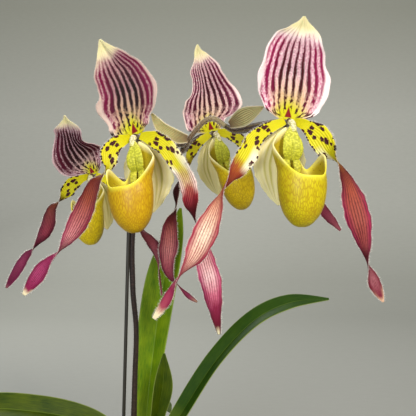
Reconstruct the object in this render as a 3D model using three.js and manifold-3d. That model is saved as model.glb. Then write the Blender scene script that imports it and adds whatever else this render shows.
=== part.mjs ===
// A slipper orchid (Paphiopedilum) in flower: four blooms on one tall stem, a fan of strap
// leaves, a stake with a tie, and a plain pot filled with bark.
// Millimetres, +Z up. The origin is the middle of the pot's flat underside; -Y is the front.

import * as THREE from 'three';
import Module from 'manifold-3d';
import { mergeVertices } from 'three/addons/utils/BufferGeometryUtils.js';

const wasm = await Module();
wasm.setup();

// ---------------------------------------------------------------- driving dimensions

const CLEARANCE = 0.3;          // between pieces that touch on the plant
const ACROSS = 6;               // faces across a blade
const FACING = new THREE.Vector3(0, -1, 0);
const REACH = 0.01;             // share of a row list over which its direction is taken
const NARROWEST = 0.4;          // least half width of a blade
const WAVE_LAG = 1.3;           // how far the waves of a blade's two edges are out of step
const STEM_SIDES = 8;

const POT_HEIGHT = 93;
const POT_RIM_RADIUS = 54;
const POT_NECK_RADIUS = 50;
const POT_FOOT_RADIUS = 38;
const POT_RIM_HEIGHT = 14;
const POT_WALL = 2.2;
const POT_SIDES = 32;
const DRAIN_COUNT = 6;
const DRAIN_SIZE = [9, 12, 7];

const BARK_LEVEL = 84;          // middle height of the bark's top
const BARK_RELIEF = 3.5;        // how far the chips stand up and down
const BARK_CHIP = 13;           // spacing of the chips
const BARK_SWAY = [3, 4];       // how far the rows of chips wander
const BARK_SWAY_LENGTH = [7, 9];
const BARK_SHOULDER = 10;       // how far below the top its straight side ends
const BARK_RINGS = 7;

const STAKE_RADIUS = 1.1;
const STAKE_FOOT = [-17, -14, 22];
const STAKE_TOP = [-9.6, -23, 258];
const STAKE_SIDES = 10;
const TIE_WIDTH = 4;
const TIE_THICK = 0.8;
const TIE_SLACK = 1;

const POUCH_WALL = 0.9;
const PETAL_THICK = 0.8;
const LEAF_THICK = 1.2;

// Colour and roughness of each kind of piece.
const LOOKS = {
  dorsal_sepal: [0xb55a78, 0.55],
  synsepal: [0xd9cfa2, 0.55],
  petal: [0xa8365a, 0.55],
  pouch: [0xc9b32c, 0.5],
  column: [0xbfc23a, 0.6],
  ovary: [0x6b4a35, 0.7],
  bract: [0xa9a548, 0.6],
  leaf: [0x4f7f2a, 0.4],
  crown: [0x7d8a3a, 0.6],
  flower_stem: [0x3a2226, 0.8],
  stake: [0x2c2b27, 0.6],
  tie: [0x4a4036, 0.8],
  pot: [0x4a4744, 0.6],
  bark: [0x6d4a30, 0.9],
};

// ---------------------------------------------------------------- small helpers

const group = new THREE.Group();
const radians = THREE.MathUtils.degToRad;
const vec = (point) => new THREE.Vector3(...point);

function geometryOf(points, triangles) {
  const geometry = new THREE.BufferGeometry();
  geometry.setAttribute('position', new THREE.Float32BufferAttribute(points, 3));
  geometry.setIndex(triangles);
  return faceOut(geometry);
}

// Turns the faces round if they point inward.
function faceOut(geometry) {
  const place = geometry.attributes.position;
  const index = geometry.index.array;
  const a = new THREE.Vector3();
  const b = new THREE.Vector3();
  const c = new THREE.Vector3();
  let volume = 0;
  for (let i = 0; i < index.length; i += 3) {
    a.fromBufferAttribute(place, index[i]);
    b.fromBufferAttribute(place, index[i + 1]);
    c.fromBufferAttribute(place, index[i + 2]);
    volume += a.dot(b.cross(c));
  }
  if (volume < 0) {
    for (let i = 0; i < index.length; i += 3) {
      [index[i], index[i + 1]] = [index[i + 1], index[i]];
    }
  }
  return geometry;
}

function toSolid(geometry) {
  const bare = geometry.clone();
  bare.deleteAttribute('normal');
  bare.deleteAttribute('uv');
  const merged = mergeVertices(bare, 1e-3);
  return new wasm.Manifold(new wasm.Mesh({
    numProp: 3,
    vertProperties: merged.attributes.position.array,
    triVerts: new Uint32Array(merged.index.array),
  }));
}

function fromSolid(solid) {
  const mesh = solid.getMesh();
  return geometryOf(Array.from(mesh.vertProperties), Array.from(mesh.triVerts));
}

function add(parent, name, geometry, [color, roughness]) {
  geometry.computeVertexNormals();
  const material = new THREE.MeshStandardMaterial({ color, roughness, metalness: 0 });
  const mesh = new THREE.Mesh(geometry, material);
  mesh.name = name;
  parent.add(mesh);
}

// A row of numbers part of the way along a list of rows, by Catmull-Rom interpolation.
function rowAt(rows, part) {
  const last = rows.length - 1;
  const place = Math.min(Math.max(part, 0), 1) * last;
  const i = Math.min(Math.floor(place), last - 1);
  const f = place - i;
  const [p, q, r, s] = [rows[Math.max(i - 1, 0)], rows[i], rows[i + 1], rows[Math.min(i + 2, last)]];
  return q.map((_, k) => 0.5 * (2 * q[k] + (r[k] - p[k]) * f
    + (2 * p[k] - 5 * q[k] + 4 * r[k] - s[k]) * f ** 2
    + (3 * q[k] - p[k] - 3 * r[k] + s[k]) * f ** 3));
}

// The direction in which a list of rows runs there.
function runAt(rows, part) {
  const ahead = vec(rowAt(rows, part + REACH).slice(0, 3));
  const behind = vec(rowAt(rows, part - REACH).slice(0, 3));
  return ahead.sub(behind).normalize();
}

// ---------------------------------------------------------------- blades

// A petal, sepal, bract or leaf. Each row is x, y, z, left, right, twist, cup: the midrib's place,
// the width on either side of it (as seen with the tip up), how far the face is turned about the
// midrib from facing the front, and how far the sides close up towards the face. With a keel the
// two halves are flat and meet in a fold.
function blade(rows, { along, across = ACROSS, thick = PETAL_THICK, wave = 0, waves = 3, keel = false }) {
  const middle = [];
  for (let i = 0; i <= along; i += 1) {
    const part = i / along;
    const [x, y, z, left, right, twist, cup] = rowAt(rows, part);
    const run = runAt(rows, part);
    const face = FACING.clone().addScaledVector(run, -FACING.dot(run)).normalize();
    face.applyAxisAngle(run, -radians(twist));
    const side = face.clone().cross(run);
    const bend = radians(cup) || 1e-6;
    const line = [];
    for (let j = 0; j <= across; j += 1) {
      const v = -1 + 2 * j / across;
      const width = Math.max(v > 0 ? left : right, NARROWEST);
      const out = keel ? v * Math.cos(bend) : Math.sin(bend * v) / bend;
      const up = keel ? Math.abs(v) * Math.sin(bend) : (1 - Math.cos(bend * v)) / bend;
      const phase = 2 * Math.PI * waves * part + (v > 0 ? 0 : WAVE_LAG);
      const ripple = wave * Math.abs(v) ** 3 * Math.sin(phase);
      line.push(new THREE.Vector3(x, y, z).addScaledVector(side, width * out)
        .addScaledVector(face, width * (up + ripple)));
    }
    middle.push(line);
  }
  return thicken(middle, thick);
}

// Gives a grid of points a thickness. Both faces are split into triangles alike.
function thicken(middle, thick) {
  const along = middle.length - 1;
  const across = middle[0].length - 1;
  const points = [];
  for (const sign of [1, -1]) {
    for (let i = 0; i <= along; i += 1) {
      for (let j = 0; j <= across; j += 1) {
        const du = middle[Math.min(i + 1, along)][j].clone().sub(middle[Math.max(i - 1, 0)][j]);
        const dv = middle[i][Math.min(j + 1, across)].clone().sub(middle[i][Math.max(j - 1, 0)]);
        const normal = du.cross(dv).normalize();
        const place = middle[i][j].clone().addScaledVector(normal, sign * thick / 2);
        points.push(place.x, place.y, place.z);
      }
    }
  }
  const layer = (along + 1) * (across + 1);
  const at = (i, j, under) => i * (across + 1) + j + (under ? layer : 0);
  const triangles = [];
  for (let i = 0; i < along; i += 1) {
    for (let j = 0; j < across; j += 1) {
      triangles.push(at(i, j), at(i + 1, j), at(i + 1, j + 1));
      triangles.push(at(i, j), at(i + 1, j + 1), at(i, j + 1));
      triangles.push(at(i, j, 1), at(i + 1, j + 1, 1), at(i + 1, j, 1));
      triangles.push(at(i, j, 1), at(i, j + 1, 1), at(i + 1, j + 1, 1));
    }
  }
  const edge = [];
  for (let i = 0; i < along; i += 1) edge.push([i, 0]);
  for (let j = 0; j < across; j += 1) edge.push([along, j]);
  for (let i = along; i > 0; i -= 1) edge.push([i, across]);
  for (let j = across; j > 0; j -= 1) edge.push([0, j]);
  edge.forEach(([i, j], k) => {
    const [m, n] = edge[(k + 1) % edge.length];
    triangles.push(at(i, j), at(m, n, 1), at(m, n));
    triangles.push(at(i, j), at(i, j, 1), at(m, n, 1));
  });
  return geometryOf(points, triangles);
}

// ---------------------------------------------------------------- lofts

// A closed body through rings of points, with a flat cap on the first and the last ring.
function loft(rings) {
  const sides = rings[0].length;
  const points = rings.flat().flatMap((p) => [p.x, p.y, p.z]);
  const triangles = [];
  for (let i = 0; i < rings.length - 1; i += 1) {
    for (let j = 0; j < sides; j += 1) {
      const a = i * sides + j;
      const b = i * sides + (j + 1) % sides;
      triangles.push(a, b, b + sides, a, b + sides, a + sides);
    }
  }
  [0, rings.length - 1].forEach((ring, end) => {
    const centre = rings[ring].reduce((sum, p) => sum.add(p), new THREE.Vector3()).divideScalar(sides);
    const hub = points.length / 3;
    points.push(centre.x, centre.y, centre.z);
    for (let j = 0; j < sides; j += 1) {
      const a = ring * sides + j;
      const b = ring * sides + (j + 1) % sides;
      triangles.push(hub, end ? a : b, end ? b : a);
    }
  });
  return geometryOf(points, triangles);
}

// A round stem. Each row is x, y, z, radius.
function stem(rows, along, sides) {
  const rings = [];
  let across = new THREE.Vector3(1, 0, 0);
  for (let i = 0; i <= along; i += 1) {
    const part = i / along;
    const [x, y, z, radius] = rowAt(rows, part);
    const run = runAt(rows, part);
    across = across.clone().addScaledVector(run, -across.dot(run)).normalize();
    const other = run.clone().cross(across);
    rings.push(Array.from({ length: sides }, (_, j) => {
      const turn = 2 * Math.PI * j / sides;
      return new THREE.Vector3(x, y, z).addScaledVector(across, radius * Math.cos(turn))
        .addScaledVector(other, radius * Math.sin(turn));
    }));
  }
  return loft(rings);
}

// ---------------------------------------------------------------- parts of a bloom

// Every bloom is laid out about the top of its ovary: -y to its front, z up.

const DORSAL_CUP = 16;

function dorsalSepal({ dorsal }) {
  const rows = dorsal.map((row) => [...row, 0, DORSAL_CUP]);
  return blade(rows, { along: 12, across: 8, wave: 0.04 });
}

// Rows of the synsepal: depth behind the column, height, half width, cup.
const SYNSEPAL_ROWS = [
  [3.2, -3.4, 4, 10], [5.5, -11, 13, 12], [8, -21, 17, 12], [10.5, -31, 14.5, 16], [13, -40, 8, 20],
  [15, -46.5, 0.6, 10],
];

function synsepal({ size, sides: [left, right] }) {
  const rows = SYNSEPAL_ROWS.map(([y, z, half, cup]) => (
    [0, y, z * size, half * right * size, half * left * size, 0, cup]));
  return blade(rows, { along: 10, wave: 0.04 });
}

// Rows of the pouch from its foot up: height, half width, front, back.
const POUCH_ROWS = [
  [-58, 2.2, -17.5, -13.5], [-57, 4.5, -19.5, -11.5], [-55, 6.8, -21.8, -9.3], [-51, 9.8, -24.5, -7],
  [-45, 12, -26.5, -5.3], [-36, 13.2, -27.3, -4.3], [-27, 13, -26, -3.8], [-20, 13.4, -25, -3.4],
  [-16, 12.5, -22, -3], [-12, 10, -16, -2.6], [-7, 7.5, -9, -2], [-3.5, 4, -5.5, -1.6],
];
const POUCH_FLOOR = -58;
const POUCH_SIDES = 18;
const POUCH_STEPS = 6;

// How high the pouch's rim stands, in even steps of the angle from its front. On both sides it is
// low in front and comes up at an ear. The free side then drops to a deep notch; the other side
// climbs on as the claw that holds the pouch at the back.
const FREE_RIM = [[-31.6], [-31.5], [-30.6], [-26.3], [-20], [-20.8], [-23.7], [-26.8], [-17], [-4]];
const CLAW_RIM = [[-31.6], [-31.2], [-28.8], [-24.7], [-19.5], [-14.4], [-10.5], [-7.2], [-5], [-4]];

function pouchRow(z) {
  const i = Math.max(1, POUCH_ROWS.findIndex((row) => row[0] >= z));
  const [low, high] = [POUCH_ROWS[i - 1], POUCH_ROWS[i]];
  const part = (z - low[0]) / (high[0] - low[0]);
  return low.map((value, k) => value + part * (high[k] - value));
}

// The claw stands on the side that the bloom looks away from.
function pouchRing(step, inset, { size, broad, turn: facing }) {
  return Array.from({ length: POUCH_SIDES }, (_, j) => {
    const turn = 2 * Math.PI * j / POUCH_SIDES;
    const rim = Math.sin(turn) * facing < 0 ? CLAW_RIM : FREE_RIM;
    const top = rowAt(rim, Math.min(turn, 2 * Math.PI - turn) / Math.PI)[0];
    const z = POUCH_FLOOR + (top - POUCH_FLOOR) * (1 - Math.cos(Math.PI / 2 * step));
    const [, half, front, back] = pouchRow(z);
    return new THREE.Vector3(
      broad * (half - inset) * Math.sin(turn),
      (front + back) / 2 - ((back - front) / 2 - inset) * Math.cos(turn),
      z + inset * (1 - step),
    ).multiplyScalar(size);
  });
}

function pouch(plan) {
  const steps = Array.from({ length: POUCH_STEPS + 1 }, (_, i) => i / POUCH_STEPS);
  const outer = steps.map((step) => pouchRing(step, 0, plan));
  const inner = steps.map((step) => pouchRing(step, POUCH_WALL, plan)).reverse();
  return loft([...outer, ...inner]);
}

// The column reaches forward over the pouch's claw and ends in the staminode, a shield that
// hangs in front of the pouch's mouth.
const SHIELD_ROWS = [
  [0, -4.5, -5.5, 2, 2, 0, 20], [0, -6.3, -8.5, 5, 5, 0, 20], [0, -7.4, -13.5, 5.8, 5.8, 0, 20],
  [0, -7.2, -18.5, 4.8, 4.8, 0, 20], [0, -6, -22.5, 1.8, 1.8, 0, 20],
];
const SHIELD_THICK = 2.4;
const COLUMN_ROWS = [[0, -0.8, 0, 1.9], [0, -3, 0.2, 2.1], [0, -5.2, -2.4, 2], [0, -6, -7, 1.7]];

function column({ size }) {
  const shield = blade(SHIELD_ROWS, { along: 5, across: 4, thick: SHIELD_THICK });
  const body = toSolid(stem(COLUMN_ROWS, 5, 8)).add(toSolid(shield));
  return fromSolid(body).scale(size, size, size);
}

// ---------------------------------------------------------------- blooms

// Each bloom, from the lowest on the stem to the last. at is the top of its ovary, sides are the
// breadths of its synsepal's halves, and roots say how far out its left and right petals start.
// Rows of the dorsal sepal: x, y, z, left, right, in the bloom's own frame. Rows of a petal:
// x, y, z, half width, twist; petals hang and twist as they grew, so they are laid out along the
// plant's axes. Rows of the stalk are in the plant's frame: x, y, z, radius, from the stem to just
// behind the bloom.
const BLOOMS = [
  {
    name: 'bloom_1', at: [-47, 41, 279], turn: -15, roll: -8,
    size: 0.88, broad: 1, sides: [0.75, 1], roots: [3.2, 3.2],
    dorsal: [[0, 2.8, 2.8, 5.5, 5.5], [-1, 2.4, 5.8, 8, 10.5], [-3, 1, 10, 18, 15.5],
      [-5, -1.5, 14.5, 21, 18.5], [-6.3, -4.5, 18.5, 20.5, 18], [-7, -8, 22.5, 18, 14],
      [-6.8, -11.5, 26.5, 14, 10.6], [-6, -15, 30, 11, 11.5], [-5, -18, 34, 10, 11.4],
      [-4.2, -20.5, 38, 4.6, 6.6], [-3.6, -22, 40.3, 2, 2.5], [-3.2, -23.5, 42.6, 0.6, 0.6]],
    left: [[-6, -3, -2, 2.8, 0], [-12, -6, -5.8, 4.8, 5], [-16.5, -7, -11.5, 4.8, 20],
      [-20.5, -7.5, -17, 2.6, 70], [-23.5, -8, -20.5, 3, 115], [-27.8, -8, -25, 4.6, 155],
      [-30.2, -8, -36, 5.2, 175], [-34, -8, -44.5, 4, 205], [-39.3, -8, -51.8, 2.4, 260],
      [-43, -8, -56.5, 3.6, 305], [-47.5, -8, -62, 4.5, 330], [-53.5, -8, -71, 3.9, 345],
      [-60.8, -8, -82.6, 0.8, 360]],
    right: [[16, -4, -6, 3.5, 0], [29, -12, -21, 3.4, -30], [39, -24, -36, 2.4, -90],
      [44.5, -34, -42.5, 3, -140], [50.5, -39, -49.5, 3.6, -180], [53, -41, -57.5, 2.4, -230],
      [54, -42, -66, 1.8, -270], [56, -42, -82.5, 0.6, -320]],
    stalk: [[-5, -17, 252, 1.5], [-4, 4, 262, 1.5], [-13, 36, 273, 1.8], [-30, 53, 276.5, 2.1]],
    bract: [[-8.4, -17, 253, 2, 0], [-11, -8, 262, 5, 0], [-14, 4, 270, 0.6, 0]],
  },
  {
    name: 'bloom_2', at: [-3, -46, 297], turn: -16, roll: -7,
    size: 0.97, broad: 1.02, sides: [0.75, 1.2], roots: [3.2, 3.2],
    dorsal: [[0, 2.6, 2.5, 6.5, 6.5], [-1, 2.6, 5.5, 14, 9.8], [-1.2, 2.2, 11, 16.9, 12],
      [-1, 1, 18, 20.7, 17.5], [-1, -0.5, 26, 18.2, 18.8], [-2.5, -3, 35, 16.8, 16.2],
      [-5, -5.5, 42, 14.4, 11.8], [-7.8, -8.5, 49, 7.2, 6.5], [-9, -10.5, 53, 3.2, 3.4],
      [-9.6, -12.2, 56.4, 0.6, 0.6]],
    left: [[-8.7, -5, -3.9, 4, 5], [-12.8, -7.5, -9, 4.9, 15], [-13.8, -8.5, -14.6, 4.9, 25],
      [-14.2, -9.2, -18.9, 3.4, 60], [-16, -10, -22, 2.8, 95], [-22, -11, -28, 4.4, 150],
      [-25.3, -12, -38, 5.3, 170], [-28.8, -13, -47, 5.8, 180], [-34, -13.5, -57, 4.5, 205],
      [-38.5, -14, -63.5, 2.8, 245], [-42, -14, -68, 2.6, 285], [-47, -14, -73, 4, 320],
      [-52, -14, -79, 4.9, 340], [-60.8, -13, -91, 1, 360]],
    right: [[12.5, -5, -2.6, 4.8, 0], [19.5, -6.5, -7.8, 5, -8], [24.9, -7, -15.2, 5.2, -15],
      [29.4, -7, -22.3, 5.2, -22], [32.3, -7, -30.5, 5.6, -30], [33.8, -7, -39.5, 5.2, -38],
      [35.5, -6.5, -48, 3, -75], [37, -6, -53, 2.4, -105], [39, -5.5, -62, 4.2, -145],
      [41.2, -5, -72.2, 5.8, -165], [44.2, -4.5, -83, 6.2, -180], [46, -4, -94, 5.3, -190],
      [47.5, -4, -104, 3.3, -195], [49.4, -3, -115.5, 0.8, -200]],
    stalk: [[25.3, -24.4, 295, 1.5], [20, -28.5, 294.5, 1.8], [11, -32, 295.5, 2.4], [3, -37, 296, 2.4]],
    bract: [[26.6, -26, 297.2, 2.2, 0], [21.5, -30, 297.5, 3.6, 0], [13.4, -35.5, 301.2, 3.6, 0],
      [9.3, -38, 306.4, 2.8, 0], [6.2, -39, 311.8, 0.6, 0]],
  },
  {
    name: 'bloom_3', at: [44, 5, 306], turn: 28, roll: -16,
    size: 0.93, broad: 0.95, sides: [1, 0.75], roots: [2.9, 3.2],
    dorsal: [[0, 2.6, 2.5, 6.5, 6.5], [0, 2.6, 5.5, 18, 10.3], [0, 2.4, 10, 20.7, 15],
      [1, 1.5, 16, 20.3, 24], [1.5, 1, 20.5, 19.2, 24.8], [2, 0.5, 26, 16, 22.4],
      [1.8, -0.6, 32, 11, 18.4], [1.4, -2, 38, 9.6, 14.6], [1, -3.2, 44, 9.9, 11.9],
      [0.4, -4.8, 50, 5, 7.4], [-0.2, -6, 54.5, 3, 3], [-0.2, -7.3, 58.4, 0.6, 0.6]],
    left: [[-10.8, -5, -7.8, 3.1, 0], [-15.5, -7, -14.7, 3.2, 15], [-19, -8, -24, 2.6, 60],
      [-25, -8, -39, 3.4, 130], [-25.5, -8, -50.5, 2.2, 90], [-28.8, -8, -60, 4.4, 35],
      [-30.3, -8, -75, 6.3, 10], [-31, -8, -88, 4.6, -10], [-28.7, -8, -97, 3, -40],
      [-24, -7.5, -102.5, 1, -90], [-17.4, -7, -109.5, 1.8, -150], [-11.3, -6, -114, 0.6, -180]],
    right: [[15, -2, -3, 4, 0], [32, -5, -19.5, 4, -40], [51, -7, -36.5, 3, -90],
      [69, -7, -48.5, 4, -150], [77, -7, -57, 3.4, -165], [84.5, -7, -66, 0.8, -180]],
    stalk: [[17.8, -18.8, 281, 1.5], [17, -8, 284, 1.6], [22, 8, 294, 2], [34, 15, 304, 2.3]],
    bract: [[16.8, -16.5, 284, 2, 0], [13, -11, 293, 5, 0], [12, -2, 302, 0.6, 0]],
  },
  {
    name: 'bloom_4', at: [85, -65, 303], turn: 16, roll: 0,
    size: 1, broad: 1, sides: [1.12, 0.75], roots: [2.6, 3.3],
    dorsal: [[0, 2.6, 2.5, 6.5, 6.5], [0.3, 2.6, 5, 14, 15], [0.6, 2.4, 9, 17.1, 19.3],
      [1.2, 1.4, 16, 20.1, 21.5], [1.5, 0, 24, 21.4, 21.7], [2, -2, 32, 19.7, 18.9],
      [3, -4, 40, 17, 16.1], [4, -5.9, 46, 12.8, 11.6], [4.3, -7.3, 50, 7.4, 7.4],
      [4.4, -8.4, 52.6, 3.2, 3.2], [4.4, -9.4, 55.2, 0.6, 0.6]],
    left: [[-12, -3, -4.5, 3.3, 0], [-19.6, -6.5, -10.6, 4.4, 8], [-24.1, -9, -19.4, 5.6, 15],
      [-29.3, -11, -27.1, 5.2, 30], [-33.6, -12, -32.7, 3.6, 60], [-37.1, -12.5, -38.3, 3, 95],
      [-41.3, -13, -48.5, 4.6, 150], [-46.5, -14, -61, 6.5, 180], [-51.5, -14, -72, 5.8, 200],
      [-57, -14, -80, 3.6, 235], [-61.3, -14, -86, 2.2, 280], [-66.4, -13, -96, 2.8, 335],
      [-73.7, -12, -106.8, 1, 360]],
    right: [[8, -3, -2.9, 2.9, 0], [14.5, -7, -9.2, 6.1, -12], [19.2, -9, -17, 5.6, -38],
      [24, -9, -22.8, 2.5, -95], [27, -9, -27.5, 3, -140], [30.5, -9, -35, 4.2, -165],
      [33.3, -9, -45, 6.6, -180], [36.3, -9, -56, 6.3, -190], [39, -8, -67, 3.8, -205],
      [40.7, -8, -77, 1.8, -275], [42.4, -8, -83, 2.8, -325], [45.1, -8, -90, 3.6, -350],
      [49.3, -8, -98.5, 0.6, -360]],
    stalk: [[51.6, -26.2, 305.6, 1.6], [57, -29, 303, 1.9], [64, -37, 303, 2.4],
      [71, -46, 303, 2.5], [79, -56, 303, 2.4]],
    bract: [[54, -31.2, 306.8, 2.1, 0], [62.5, -38, 310.4, 5.6, 0], [73, -43, 315, 0.6, 0]],
  },
];
const STALK_ENDS = [[0, 6, -0.8, 2.2], [0, -0.1, -0.2, 1.9]];      // rows in the bloom's own frame

const PETAL = { along: 26, across: 4, wave: 0.1, waves: 5 };
const PETAL_CUP = 12;
const PETAL_ROOT_HALF = 2.2;
const PETAL_ROOT_DEPTH = 0.6;
const BRACT_CUP = 40;

function bloom(plan) {
  const turned = new THREE.Group();
  turned.position.set(...plan.at);
  turned.rotation.set(0, radians(plan.roll), radians(plan.turn), 'ZYX');
  turned.updateMatrixWorld();
  const hanging = new THREE.Group();
  hanging.position.set(...plan.at);
  group.add(turned, hanging);

  add(turned, `${plan.name}_dorsal_sepal`, dorsalSepal(plan), LOOKS.dorsal_sepal);
  add(turned, `${plan.name}_synsepal`, synsepal(plan), LOOKS.synsepal);
  add(turned, `${plan.name}_pouch`, pouch(plan), LOOKS.pouch);
  add(turned, `${plan.name}_column`, column(plan), LOOKS.column);
  for (const [side, out] of [['left', -plan.roots[0]], ['right', plan.roots[1]]]) {
    const root = new THREE.Vector3(out, PETAL_ROOT_DEPTH, 0).applyEuler(turned.rotation);
    const rows = [[...root.toArray(), PETAL_ROOT_HALF, 0], ...plan[side]]
      .map(([x, y, z, half, twist]) => [x, y, z, half, half, twist, PETAL_CUP]);
    add(hanging, `${plan.name}_petal_${side}`, blade(rows, PETAL), LOOKS.petal);
  }
  const ends = STALK_ENDS.map(([x, y, z, radius]) => (
    [...turned.localToWorld(new THREE.Vector3(x, y, z)).toArray(), radius]));
  add(group, `${plan.name}_ovary`, stem([...plan.stalk, ...ends], 9, STEM_SIDES), LOOKS.ovary);
  const rows = plan.bract.map(([x, y, z, half, twist]) => [x, y, z, half, half, twist, BRACT_CUP]);
  add(group, `${plan.name}_bract`, blade(rows, { along: 6, across: 4 }), LOOKS.bract);
}

BLOOMS.forEach(bloom);

// ---------------------------------------------------------------- stem, stake and tie

// Rows of the flower stem: x, y, z, radius. It zigzags from bloom to bloom near its top.
const SCAPE_FOOT = 72;
const SCAPE = [
  [-8, -15, SCAPE_FOOT, 2], [-8, -15, 90, 2], [-8, -15, 108, 2], [-7, -16, 145, 1.7], [-6, -17, 177, 1.6],
  [-8, -18.5, 205, 1.7], [-7.5, -19.5, 244, 1.9], [3, -20, 266, 1.7], [17, -21, 281, 1.6],
  [27, -22, 297, 1.6], [37, -23, 309, 1.5], [44, -24, 311, 1.5], [51, -26, 306, 1.5],
];
const TIED_ROW = 6;
add(group, 'flower_stem', stem(SCAPE, 26, STEM_SIDES), LOOKS.flower_stem);

const stakeRows = (radius, deeper = 0) => (
  [[STAKE_FOOT[0], STAKE_FOOT[1], STAKE_FOOT[2] - deeper, radius], [...STAKE_TOP, radius]]);
add(group, 'stake', stem(stakeRows(STAKE_RADIUS), 1, STAKE_SIDES), LOOKS.stake);

// The tie is a flat oval band round the stake and the flower stem.
const [tiedX, tiedY, tiedZ, tiedRadius] = SCAPE[TIED_ROW];
const stakeShare = (tiedZ - STAKE_FOOT[2]) / (STAKE_TOP[2] - STAKE_FOOT[2]);
const stakeThere = vec(STAKE_FOOT).lerp(vec(STAKE_TOP), stakeShare);
const stemThere = new THREE.Vector3(tiedX, tiedY, tiedZ);
const tieSpan = stakeThere.distanceTo(stemThere) / 2;

function ovalOutline(path, radius) {
  path.absarc(-tieSpan, 0, radius, Math.PI / 2, 3 * Math.PI / 2);
  path.absarc(tieSpan, 0, radius, -Math.PI / 2, Math.PI / 2);
  return path;
}
const tieShape = ovalOutline(new THREE.Shape(), tiedRadius + TIE_SLACK + TIE_THICK);
tieShape.holes.push(ovalOutline(new THREE.Path(), tiedRadius + TIE_SLACK));
const tie = new THREE.ExtrudeGeometry(tieShape, { depth: TIE_WIDTH, bevelEnabled: false, curveSegments: 6 });
tie.translate(0, 0, -TIE_WIDTH / 2);
tie.rotateZ(Math.atan2(stemThere.y - stakeThere.y, stemThere.x - stakeThere.x));
tie.translate(...stakeThere.lerp(stemThere, 0.5));
add(group, 'tie', tie, LOOKS.tie);

// ---------------------------------------------------------------- leaves and crown

// Rows of a leaf: x, y, z, half width, twist, how far its halves fold up.
const LEAVES = {
  leaf_tall: [[-2, -7, 94, 4.5, 20, 45], [0, -2, 126, 10.5, 20, 38], [4.2, 4, 166, 12.8, 18, 32],
    [9.7, 9, 205, 12.8, 15, 28], [16, 12, 234, 8.2, 10, 22], [21, 13, 255, 0.8, 0, 15]],
  leaf_small: [[2, -11, 94, 4, -10, 45], [7, -13, 121, 6, -10, 40], [11, -16, 142, 7, -10, 30],
    [12, -18, 162, 0.8, 0, 15]],
  leaf_right: [[6, -14, 94, 4.5, 20, 45], [24, -18, 125, 6.6, 35, 32], [46, -21, 159, 7.4, 50, 26],
    [69, -24, 184, 7.6, 56, 20], [91, -26, 195.5, 6.2, 54, 16], [115, -28, 198.5, 0.8, 50, 12]],
  leaf_left: [[-8, -16, 92, 4, 0, 45], [-19, -27, 112, 7, -30, 35], [-35, -33, 124, 9, -50, 30],
    [-63, -38, 132, 10, -56, 25], [-97, -43, 135, 9.8, -58, 20], [-132, -50, 127, 7, -60, 20],
    [-165, -55, 111, 0.8, -60, 15]],
  leaf_front_left: [[-4, -19, 92, 3.2, 0, 45], [-8, -40, 108, 8, 10, 35], [-22, -66, 116, 9.5, 20, 25],
    [-38, -90, 108, 8, 20, 20], [-50, -108, 92, 0.8, 20, 15]],
  leaf_front_right: [[3, -20, 92, 3.2, 0, 45], [18, -41, 108, 8, -10, 35], [46, -58, 116, 9.5, -20, 25],
    [70, -80, 108, 8.5, -20, 20], [88, -96, 92, 0.8, -20, 15]],
  leaf_back: [[-4, -7, 92, 4, 180, 45], [0, 14, 101, 6, 180, 30], [3, 38, 102, 6.5, 180, 22],
    [6, 62, 98, 6, 180, 20], [9, 84, 86, 0.8, 180, 15]],
};
// The crown is the short stem with its sheaths: rows of height, half length and half depth.
const CROWN_AT = [-3, -12];
const CROWN_ROWS = [[66, 8, 6], [76, 10, 8], [88, 11.3, 9.5], [97, 10.5, 8.5], [102, 8, 5.5]];
const CROWN_SIDES = 16;

function crown(grow) {
  const rows = CROWN_ROWS.map(([z, long, deep]) => [z, long + grow, deep + grow]);
  rows[0][0] -= grow;
  rows.at(-1)[0] += grow;
  return toSolid(loft(rows.map(([z, long, deep]) => Array.from({ length: CROWN_SIDES }, (_, j) => {
    const turn = 2 * Math.PI * j / CROWN_SIDES;
    const [x, y] = [long * Math.cos(turn), deep * Math.sin(turn)];
    return new THREE.Vector3(CROWN_AT[0] + x, CROWN_AT[1] + y, z);
  }))));
}

// The flower stem stands in a plain hole in the crown, which runs out through its top.
const [footX, footY, footZ, footRadius] = SCAPE[0];
const holeRadius = footRadius + 1.5 * CLEARANCE;
const holeEnds = [footZ - CLEARANCE, 2 * CROWN_ROWS.at(-1)[0] - footZ];
const holeRows = holeEnds.map((z) => [footX, footY, z, holeRadius]);
const scapeHole = toSolid(stem(holeRows, 1, STEM_SIDES));
add(group, 'crown', fromSolid(crown(0).subtract(scapeHole)), LOOKS.crown);

// Every leaf starts inside the crown and is cut back to stand just clear of it.
for (const [name, rows] of Object.entries(LEAVES)) {
  const full = rows.map(([x, y, z, half, twist, fold]) => [x, y, z, half, half, twist, fold]);
  const whole = toSolid(blade(full, { along: 12, across: 4, thick: LEAF_THICK, keel: true }));
  const pieces = whole.subtract(crown(CLEARANCE)).decompose();
  pieces.sort((a, b) => b.volume() - a.volume());
  add(group, name, fromSolid(pieces[0]), LOOKS.leaf);
}

// ---------------------------------------------------------------- pot and bark

function potRadius(z) {
  return POT_FOOT_RADIUS + (POT_NECK_RADIUS - POT_FOOT_RADIUS) * z / (POT_HEIGHT - POT_RIM_HEIGHT);
}

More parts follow.
